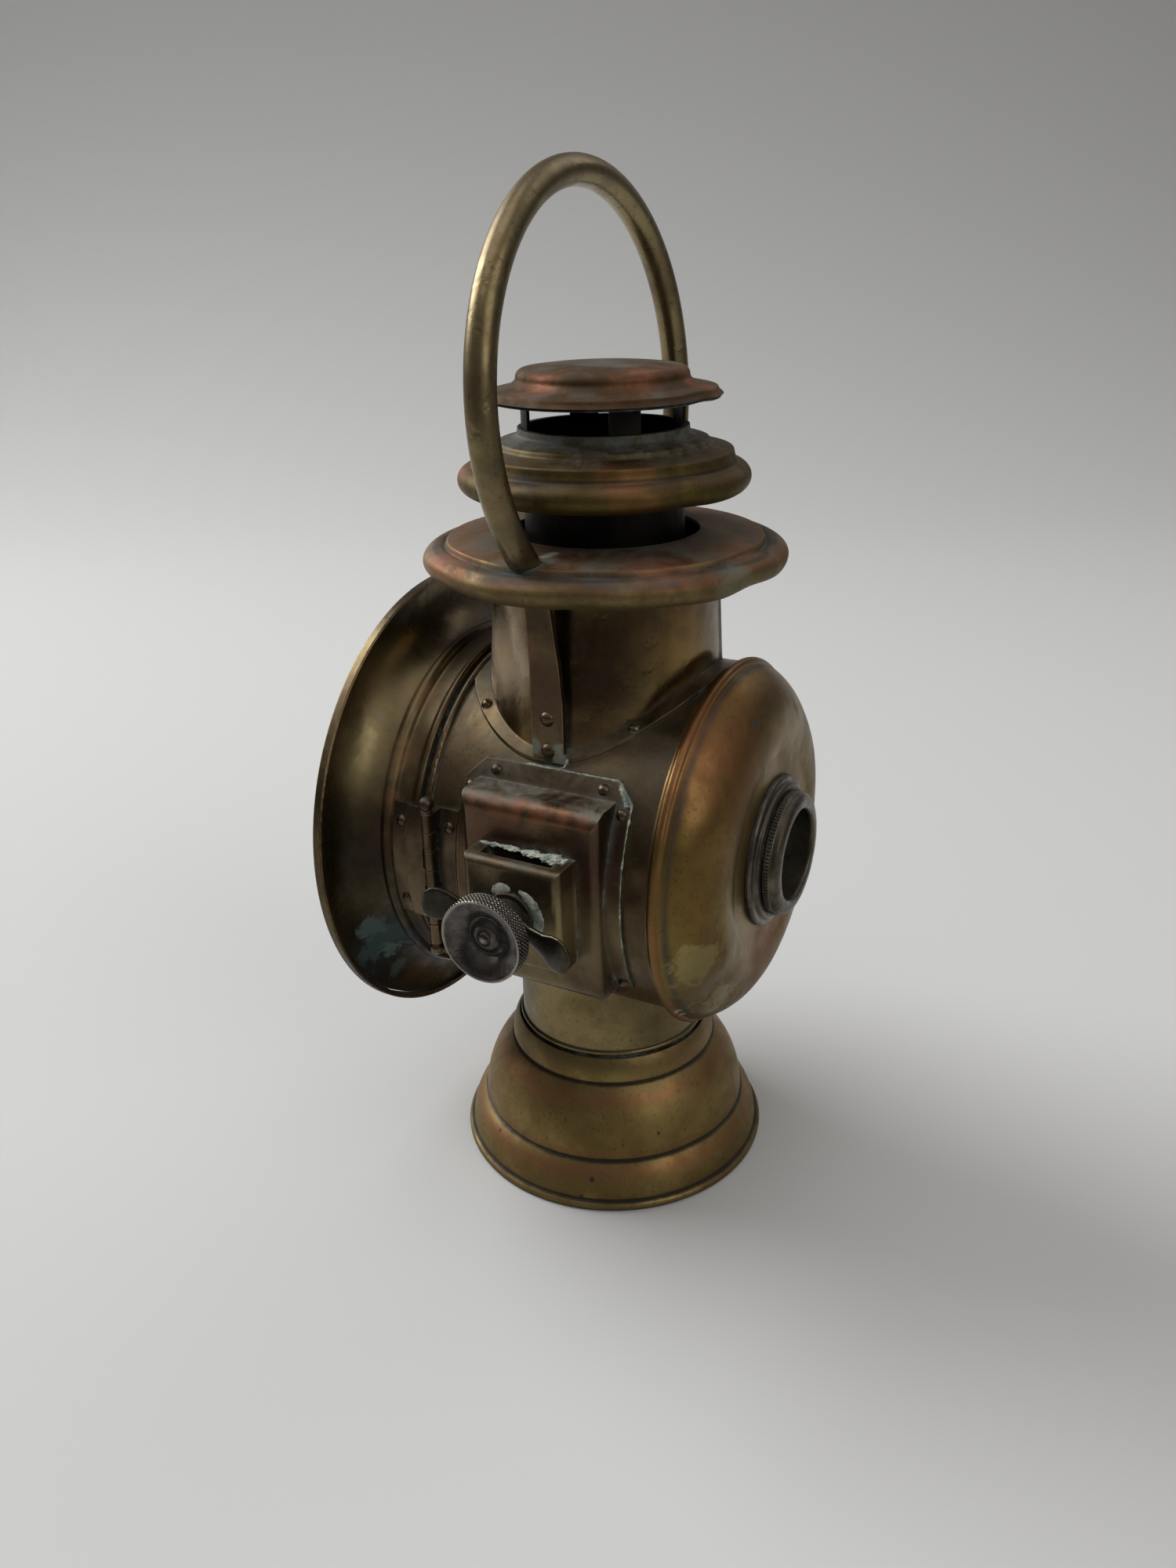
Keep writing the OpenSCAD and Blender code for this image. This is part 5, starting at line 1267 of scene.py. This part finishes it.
@dataclass
class Top:
    """Neck, straps, crown, chimney and handle."""

    neck_r: float = 32.4
    neck_top: float = 202.03
    drum_r: float = 52.55
    flare_z: float = 190.0
    flare: float = 8.6
    seam: float = 106.0
    lap: float = 0.45
    lap_fade: float = 24.0
    crown_hole: Pair = (26.9, 203.6)
    crown_step: Pair = (44.8, 201.91)
    crown_roll: Pair = (5.9, 4.2)
    crown_at: Pair = (45.93, 196.4)
    crown_dents: Dents = (
        ((10.0, 50.5, 195.0), 7.0, (0.2, -0.4, 1.0)),
        ((22.0, 46.5, 195.0), 5.0, (-0.2, -0.4, -0.7)),
        ((-8.0, 51.0, 197.0), 5.0, (0, -0.5, -0.7)),
        ((44.0, -27.0, 195.0), 8.0, (-0.4, 0.3, 0.5)),
        ((48.0, 18.0, 193.0), 6.0, (-0.3, 0, 0.5)),
    )
    crown_wave: Wave = (62, 0.09, 8)
    ring_wave: Wave = (60, 0.12, 9)
    cap_wave: Wave = (50, 0.12, 10)
    ring_roll: Pair = (4.3, 3.8)
    ring_at: Pair = (36.5, 218.1)
    ring_hole: float = 22.66
    ring_steps: Path = (
        (36.2, 223.6), (35.8, 225.4), (29.7, 226.8), (29.2, 228.2),
        (25.15, 229.2), (23.95, 229.9), (23.68, 231.8),
    )
    ring_dents: Dents = (((20.0, 34.0, 217.0), 6.0, (-0.2, -0.4, 0.5)),)
    cap_brim: Path = ((32.7, 239.8), (31.6, 240.7), (31.2, 241.6))
    cap_top: Path = ((2.0, 248.0), (0.0, 248.0))
    cap_dents: Dents = (((14.0, 14.5, 247.5), 0.9, (0, 0, -0.5)), ((6.0, 31.0, 240.0), 3.5, (0, 0.3, 0.5)))

    def neck(self) -> Piece:
        """The neck: a tube that flares towards both straps and is cut to the drum, with a lapped seam.

        At a height z the section is a circle that is pulled apart along X, as x = r cos t + s tanh(3 cos t)
        and y = r sin t, with s = 3 ln(1 + exp((z0 - z) / 3)) tan(flare). The lap adds a step to r that fades
        round the tube.

        Returns:
            The neck.
        """
        t = steps(256)[None, :]
        part = np.linspace(0, 1, 90)[:, None]
        lap = np.exp(-((np.degrees(t) - self.seam) % 360) / self.lap_fade)
        rings = []
        for inset in (0.0, SHEET):
            r = self.neck_r - inset
            foot = AXIS_Z + np.sqrt(self.drum_r**2 - (r * np.cos(t) * 1.16) ** 2)
            z = foot + (self.neck_top - foot) * part
            pull = np.log1p(np.exp((self.flare_z - z) / 3.0)) * 3.0 * math.tan(math.radians(self.flare))
            wall = r + self.lap * lap * (inset == 0)
            x = wall * np.cos(t) + pull * np.tanh(3 * np.cos(t))
            rings.append(np.stack([x, wall * np.sin(t) + 0 * z, z], 2))
        tube = np.concatenate([rings[0], rings[1][::-1]])
        low = AXIS_Z + np.sqrt(np.maximum(self.drum_r**2 - tube[..., 0] ** 2, 0)) + SEAT
        tube[..., 2] = np.maximum(tube[..., 2], low)
        return closed("neck_sheet", tube)

    def crown(self) -> Piece:
        """The wide drip ring: a rolled edge, a step and a plate that rises to the hole, with a bent edge.

        Returns:
            The crown.
        """
        path = np.concatenate([
            oval(self.crown_at, *self.crown_roll, -100, 84),
            [(self.crown_step[0] + 0.6, self.crown_step[1] - 1.8), self.crown_step, self.crown_hole],
        ])
        plate = spin(walled(even(path, step=0.35, ease=0.2), SHEET), Turn.UPRIGHT, LARGE_TURN)
        return closed(
            "crown_sheet", worn(plate, self.crown_dents, Z, self.crown_wave, off_axis, start=44, run=6)
        )

    def deflector(self) -> Piece:
        """The spun ring round the chimney: a rolled edge and three steps up to a lip.

        Returns:
            The ring.
        """
        path = np.concatenate([oval(self.ring_at, *self.ring_roll, -100, 84), self.ring_steps])
        outline = walled(even(path, step=0.35, ease=0.2), SHEET)
        outline[:, 0] = np.maximum(outline[:, 0], self.ring_hole)
        ring = spin(outline, Turn.UPRIGHT)
        return closed(
            "deflector_sheet", worn(ring, self.ring_dents, Z, self.ring_wave, off_axis, start=34, run=5)
        )

    def cap(self) -> Piece:
        """The chimney's cap: a turned-out brim, a hollow flare, a shoulder and a low crown with a small nick.

        Returns:
            The cap.
        """
        path = np.concatenate([
            self.cap_brim,
            bow((27.3, 242.4), (23.65, 244.4), -0.5),
            bow((23.65, 245.2), (21.4, 247.0), 0.5),
            bow((21.4, 247.0), self.cap_top[0], 0.4),
            self.cap_top,
        ])
        outside = even(path, step=0.35, ease=0.2)
        outside[-1, 0] = 0.0
        outline = walled(outside, SHEET)
        outline[:, 0] = np.maximum(outline[:, 0], 0.0)
        outline[len(outside), 0] = 0.0
        cap = worn(spin(outline, Turn.UPRIGHT), self.cap_dents, Z, self.cap_wave, off_axis, start=24, run=6)
        return Surface("cap_sheet").grid(cap, False, True).object()

    def build(self) -> None:
        """Builds and dresses everything over the drum."""
        settle(self.neck(), NECK_BRASS, "lamp", "aged_brass", "neck_tube")
        settle(self.crown(), CROWN_COPPER, "lamp", "copper_tinted_brass", "crown")
        settle(self.deflector(), RING_COPPER, "lamp", "copper_tinted_brass", "deflector_ring")
        settle(self.cap(), CAP_COPPER, "lamp", "copper_tinted_brass", "chimney_cap")
        dress_node(SOOT, "chimney_tube", "chimney_brackets")
        dress_node(HANDLE_BRASS, "carry_handle")
        dress_node(STRAP_BRASS, "strap_near", "strap_far")
        dress_node(RIVET_BRASS, "strap_rivets")


@dataclass
class Bracket:
    """Box and socket on the drum's side, with the clamp screw and its crusts."""

    knurls: int = 66
    knurl_pitch: float = 1.1
    knurl: float = 0.34
    knob_middle: Path = ((2.3, 80.2), (3.5, 79.9), (4.6, 78.9))
    knob_rim: Path = (
        (11.1, 82.45), (11.35, 82.75), (11.65, 82.75), (12.0, 82.35), (12.0, 77.6),
        (11.4, 77.15), (7.8, 77.15), (6.2, 75.55), (3.25, 75.55), (3.25, 79.35), (0.0, 79.35),
    )
    knurl_from: float = 11.75
    hub_path: Path = (
        (3.2, 72.5), (3.2, 68.15), (5.6, 68.15), (5.5, 69.2), (4.9, 72.0), (4.5, 72.55), (3.4, 72.55),
    )
    wing_reach: Pair = (3.6, 23.0)
    wing_width: Path = (
        (3.6, 3.0), (8.0, 2.4), (13.0, 3.1), (16.0, 4.5), (18.5, 5.0), (20.5, 4.6), (22.0, 3.2), (22.8, 1.4),
        (23.0, 0.1),
    )
    wing_thick: Path = ((3.6, 1.3), (9.0, 1.05), (19.0, 0.95), (22.0, 0.8), (23.0, 0.1))
    wing_square: float = 0.7
    wing_way: Pair = (0.985, -0.174)
    wing_root: float = 70.35
    wing_rise: float = 4.4
    flange_y: Pair = (-21.55, 30.15)
    flange_z: float = 33.1
    flange_cut: float = 5.0
    flange_r: float = 53.5
    washer_x: float = 67.1

    def knob(self) -> Piece:
        """The dished thumb knob, spun about the screw, with a diamond knurl on its rim.

        The knurl takes h max(tri(u), tri(v)) off the radius, for u and v = n t / 2 pi +- x / p and the
        triangle wave tri, where n is the number of knurls round the rim and p their pitch along it.

        Returns:
            The knob.
        """
        path = np.concatenate([
            oval((0.0, 80.3), 1.9, 1.2, 90, 10, 12),
            self.knob_middle,
            bow((5.4, 78.6), self.knob_rim[0], -0.6),
            self.knob_rim,
        ])
        outline = even(path, step=0.16, ease=0.13)
        outline[[0, -1], 0] = 0.0
        around = np.linspace(0, self.knurls, 6 * self.knurls, endpoint=False)[None, :]
        along = outline[:, 1:] / self.knurl_pitch
        peak = [np.abs((around + way * along) % 1 - 0.5) * 2 for way in (1, -1)]
        rim = np.clip((outline[:, :1] - self.knurl_from) / 0.2, 0, 1)
        points = spin(outline, Turn.SCREW, around.size, -self.knurl * rim * np.maximum(*peak))
        return Surface("thumb_knob_dish").grid(points, False, True).object(sharp=45)

    def wings(self) -> Piece:
        """The wing nut: a turned hub, and two paddles that rise from it to round flat ends.

        A paddle's section is a rounded slab, w |cos a|^0.7 wide and t |sin a|^0.7 thick, whose half width w
        runs from a narrow waist to a round end.

        Returns:
            The nut.
        """
        hub = spin(even(np.array(self.hub_path), step=0.25, ease=0.2), Turn.SCREW, 64)
        nut = Surface("wing_nut_cast").grid(hub, True, True)
        out = np.linspace(*self.wing_reach, 60)
        width, thick = (np.interp(out, *zip(*rows)) for rows in (self.wing_width, self.wing_thick))
        lift = self.wing_root + self.wing_rise * np.clip((out - 5) / 13.5, 0, 1.2) ** 1.1
        c, s = np.cos(steps(36))[None, :], np.sin(steps(36))[None, :]
        wide = width[:, None] * np.sign(c) * np.abs(c) ** self.wing_square
        deep = thick[:, None] * np.sign(s) * np.abs(s) ** self.wing_square
        along_y, along_z = self.wing_way
        for side in (1, -1):
            y = SCREW_Y + side * (out[:, None] * along_y) - wide * along_z
            z = AXIS_Z + side * (out[:, None] * along_z) + wide * along_y
            nut.grid(np.stack([lift[:, None] + deep, y, z], 2), False, True, True)
        return nut.object(sharp=50)

    def crumbs(
        self, name: str, path: Array, radius: Sequence[float], press: Point, seed: int, rough: float = 1.0
    ) -> Piece:
        """A crumbling crust: a round section along a path, made uneven by three fields and then pressed.

        Args:
            name: Name of the piece.
            path: Corners of its way, in mm.
            radius: Radius at each corner.
            press: Factors along the axes that flatten the section on what carries it.
            seed: Seed of the fields.
            rough: Factor on the fields.

        Returns:
            The crust.
        """
        way = even(np.column_stack([path, radius]), step=0.25, ease=0.5)
        middle = way[:, None, :3]
        wave = 1 + rough * (ripple(way[:, :3], 4.0, 0.4, seed) + ripple(way[:, :3], 1.5, 0.25, seed + 1))
        points = sweep(way[:, :3], way[:, 3] * np.clip(wave, 0.25, 2.0), 24)
        points += 0.22 * rough * (points - middle) * ripple(points, 0.8, 1.0, seed + 2)[..., None]
        pressed = middle + (points - middle) * np.asarray(press)
        return Surface(name).grid(pressed, False, True, True).object(sharp=60)

    def washer_arc(self, radius: float, turn: Array) -> Array:
        """Points on the washer's face, at angles round the screw."""
        y, z = SCREW_Y + radius * np.cos(turn), AXIS_Z + radius * np.sin(turn)
        return np.column_stack([np.full(len(turn), self.washer_x), y, z])

    def crusts(self) -> list[Piece]:
        """The pale salts along the box's flange, behind the socket's slot, by the washer and at the strap.

        Returns:
            The crusts.
        """
        (y0, y1), z, cut = self.flange_y, self.flange_z, self.flange_cut
        edge = np.array([(y0 + 15, z), (y1 - cut, z), (y1, z - cut), (y1, 8.0), (y1, -12.0), (y1, -27.0)])
        edge = even(edge, step=0.5, ease=0.4)
        lip = np.column_stack([np.sqrt(self.flange_r**2 - edge[:, 1] ** 2), edge[:, 0], AXIS_Z + edge[:, 1]])
        thin = np.interp(
            np.linspace(0, 1, len(lip)), (0, 0.1, 0.3, 0.38, 0.6, 1), (0.08, 0.2, 0.26, 0.32, 0.2, 0.06)
        )
        corner = ((42.9, 25.5, 145.4), (44.6, 27.6, 143.2), (46.2, 28.9, 141.0))
        slot = (
            (58.0, -10.0, 128.2), (58.1, -4.0, 128.3),
            (58.6, 3.0, 128.3), (59.2, 10.0, 128.4), (59.6, 17.5, 128.3),
        )
        turn, fan = np.radians(np.linspace(-38, 70, 12)), np.radians(np.linspace(88, 132, 6))
        broad = np.interp(turn, (-0.7, -0.2, 0.8, 1.2), (0.5, 1.6, 1.6, 0.5))
        blob = (0.5, 1.4, 1.7, 1.7, 1.2, 0.5)
        foot = (
            (43.4, -2.2, 147.3), (43.6, 0.5, 146.9), (43.7, 4.5, 146.8),
            (43.0, 8.6, 147.4), (41.6, 9.0, 149.5),
        )
        return [
            self.crumbs("flange_crust", lip, thin, (1, 1, 1), 21),
            self.crumbs("corner_crust", corner, (0.3, 0.7, 0.4), (1, 1, 1), 33),
            self.crumbs("slot_crust", slot, (0.6, 0.8, 1.0, 1.6, 1.5), (1, 1, 0.4), 24),
            self.crumbs("washer_smear", self.washer_arc(8.6, turn), broad, (0.2, 1, 1), 27, 0.3),
            self.crumbs("washer_crust", self.washer_arc(8.0, fan), blob, (0.2, 1, 1), 36, 0.4),
            self.crumbs("strap_crust", foot, (0.2, 0.4, 0.3, 0.5, 0.3), (1, 1, 0.6), 30),
        ]

    def build(self) -> None:
        """Builds and dresses the bracket."""
        settle(self.knob(), GREY_NICKEL, "thumb_knob", "worn_nickel", "thumb_knob")
        settle(self.wings(), WING_BRASS, "wing_nut", "worn_nickel", "wing_nut")
        for crust in self.crusts():
            settle(crust, CRUST, "lamp", "aged_brass")
        dress_node(BOX_BRASS, "bracket_box")
        dress_node(SOCKET_BRASS, "bracket_socket")
        dress_node(RIVET_BRASS, "box_rivets")
        dress_node(DARK_BRASS, "clamp_washer")
        dress_node(GREY_NICKEL, "clamp_screw")


@dataclass
class Door:
    """The flared front door with its glass, hinge and catch."""

    band_r: float = 54.0
    neck_y: float = -47.2
    ridge_y: float = -45.0
    ridge_r: float = 2.2
    bead: Point = (53.78, -35.8, 1.1)
    rim: Pair = (69.6, -57.1)
    hollow: float = -3.4
    dents: Dents = (((46.0, -54.0, 83.0), 7.0, (-0.4, -0.5, 0.3)),)
    wave: Wave = (55, 0.14, 12)
    wave_from: Pair = (48, 8)

    def hood(self) -> Piece:
        """The hood: a hollow flare, a half-round ridge, a band and a bead at its rear edge.

        Returns:
            The hood.
        """
        bead_r, bead_y, bead = self.bead
        path = np.concatenate([
            bow(self.rim, (self.band_r, self.neck_y), self.hollow, 70),
            oval((self.band_r, self.ridge_y), self.ridge_r, self.ridge_r, -90, 90, 40),
            [(self.band_r, bead_y - bead - 0.3)],
            oval((bead_r, bead_y), bead, bead, -60, 90, 24),
        ])
        shell = spin(walled(even(path, step=0.45, ease=0.32), SHEET), Turn.BODY, LARGE_TURN)
        return closed("hood_sheet", worn(shell, self.dents, Y, self.wave, to_front, *self.wave_from))

    def build(self) -> None:
        """Builds and dresses the door and its fittings."""
        settle(self.hood(), HOOD_BRASS, "front_door", "aged_brass", "door_hood")
        dress_node(HOOD_BRASS, "hood_hoop", "glass_seat")
        dress_node(HINGE_BRASS, "hinge_leaf_body", "hinge_leaf_door", "hinge_pin")
        dress_node(BODY_BRASS, "spring_catch")
        dress_node(DARK_BRASS, "hinge_screws_body", "hinge_screws_door", "pull_stud")
        dress_node(RIVET_BRASS, "catch_rivets")
        dress_node(GREY_NICKEL, "glass_retainer")
        dress_node(CLEAR_GLASS, "front_glass")
        dress_node(FELT, "glass_gasket")


@dataclass
class Studio:
    """Pale sweep, soft lamps and the camera at the viewing angle."""

    eye: Point = (315.2, 162.6, 279.9)
    bearing: float = 28.34
    pitch: float = 23.71
    roll: float = -1.34
    lens: float = 28.8
    sensor: float = 36.0
    near: float = 0.01
    spread: float = 110.0
    pale: Colour = (0.54, 0.535, 0.52)
    dim: Colour = (0.045, 0.045, 0.048)
    overhead: Colour = (0.28, 0.28, 0.29)
    half_width: float = 3200.0
    front: float = -2600.0
    level: float = 200.0
    bend: Pair = (900.0, 700.0)
    height: float = 2600.0

    def sweep(self) -> None:
        """The floor and backdrop: a level sheet that curves up far behind the lamp.

        The profile runs level, then along a quarter circle, then upright, square to the camera's bearing.
        """
        start, radius = self.bend
        arc = oval((start, radius), radius, radius, -90, 0, 40)
        profile = np.concatenate(
            [[(self.front, 0.0)], [(self.level, 0.0)], arc, [(start + radius, self.height)]]
        )
        across = np.linspace(-self.half_width, self.half_width, 41)
        a = math.radians(self.bearing)
        back, side = np.array([-math.cos(a), -math.sin(a)]), np.array([-math.sin(a), math.cos(a)])
        flat = profile[:, None, :1] * back + across[None, :, None] * side
        points = np.concatenate([flat, np.repeat(profile[:, None, 1:], len(across), 1)], 2)
        floor = Surface("studio_sweep").grid(points).object(sharp=80)
        material = bpy.data.materials.new("studio_paper")
        material.use_nodes = True
        paper = {"Base Color": self.pale, "Roughness": 0.95, "Specular IOR Level": 0.1}
        Graph(material.node_tree).feed(material.node_tree.nodes["Principled BSDF"], paper)
        floor.data.materials.append(material)

    def lamp(
        self, name: str, place: Point, aim: Point, size: float, watts: float, warm: Colour = (1, 1, 1)
    ) -> None:
        """A square soft lamp that looks at a point.

        Args:
            name: Name of the lamp.
            place: Where it hangs, in metres.
            aim: What it looks at, in metres.
            size: Side of the square, in metres.
            watts: Power.
            warm: Colour of the light.
        """
        data = bpy.data.lights.new(name, "AREA")
        data.shape, data.size, data.energy, data.color = "SQUARE", size, watts, warm
        data.spread = math.radians(self.spread)
        lamp = bpy.data.objects.new(name, data)
        bpy.context.scene.collection.objects.link(lamp)
        lamp.location = place
        lamp.rotation_euler = (Vector(aim) - Vector(place)).to_track_quat("-Z", "Y").to_euler()

    def camera(self) -> None:
        """The camera, from its eye, bearing, pitch and roll."""
        a, p, w = (math.radians(x) for x in (self.bearing, self.pitch, self.roll))
        ahead = Vector((-math.cos(a) * math.cos(p), -math.sin(a) * math.cos(p), -math.sin(p)))
        right = Vector((-math.sin(a), math.cos(a), 0))
        up = right.cross(ahead)
        r2, u2 = right * math.cos(w) + up * math.sin(w), up * math.cos(w) - right * math.sin(w)
        data = bpy.data.cameras.new("photo_camera")
        data.sensor_fit, data.sensor_height, data.lens = "VERTICAL", self.sensor, self.lens
        data.clip_start = self.near
        camera = bpy.data.objects.new("photo_camera", data)
        bpy.context.scene.collection.objects.link(camera)
        turn = Matrix((r2, u2, -ahead)).transposed().to_4x4()
        camera.matrix_world = Matrix.Translation(Vector(self.eye) * MM) @ turn
        bpy.context.scene.camera = camera

    def world(self) -> None:
        """A grey room, lighter overhead than at eye level."""
        world = bpy.data.worlds.new("studio_room")
        world.use_nodes = True
        g = Graph(world.node_tree)
        shade = g.ease(g.part(g.coord("Generated"), Z), 0.05, 0.75)
        background = world.node_tree.nodes["Background"]
        g.put(background.inputs["Color"], g.blend(shade, self.dim, self.overhead))
        bpy.context.scene.world = world

    def build(self) -> None:
        """Builds the studio."""
        self.sweep()
        self.camera()
        self.world()
        self.lamp("soft_left", (0.0, -1.8, 1.4), (0, 0, 0.10), 1.3, 20.0, (0.97, 0.985, 1.0))
        self.lamp("soft_back", (-1.7, 0.5, 1.7), (0, 0, 0.10), 1.4, 3.0, (1.0, 0.99, 0.97))
        self.lamp("soft_right", (0.55, 1.75, 1.3), (0, 0, 0.12), 1.5, 4.5, (1.0, 0.985, 0.96))
        self.lamp("soft_over", (0.25, -0.2, 2.2), (0, 0, 0.1), 1.6, 5.0)
        bpy.context.scene.view_settings.view_transform = "Standard"


def main() -> None:
    """Builds the studio, then the lamp's pieces in order."""
    logging.basicConfig(level=logging.INFO, format="%(name)s: %(message)s")
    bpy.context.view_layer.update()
    Studio().build()
    for part in (Foot(), Body(), Top(), Bracket(), Door()):
        LOG.info("building %s", type(part).__name__)
        part.build()


if __name__ == "__main__":
    main()
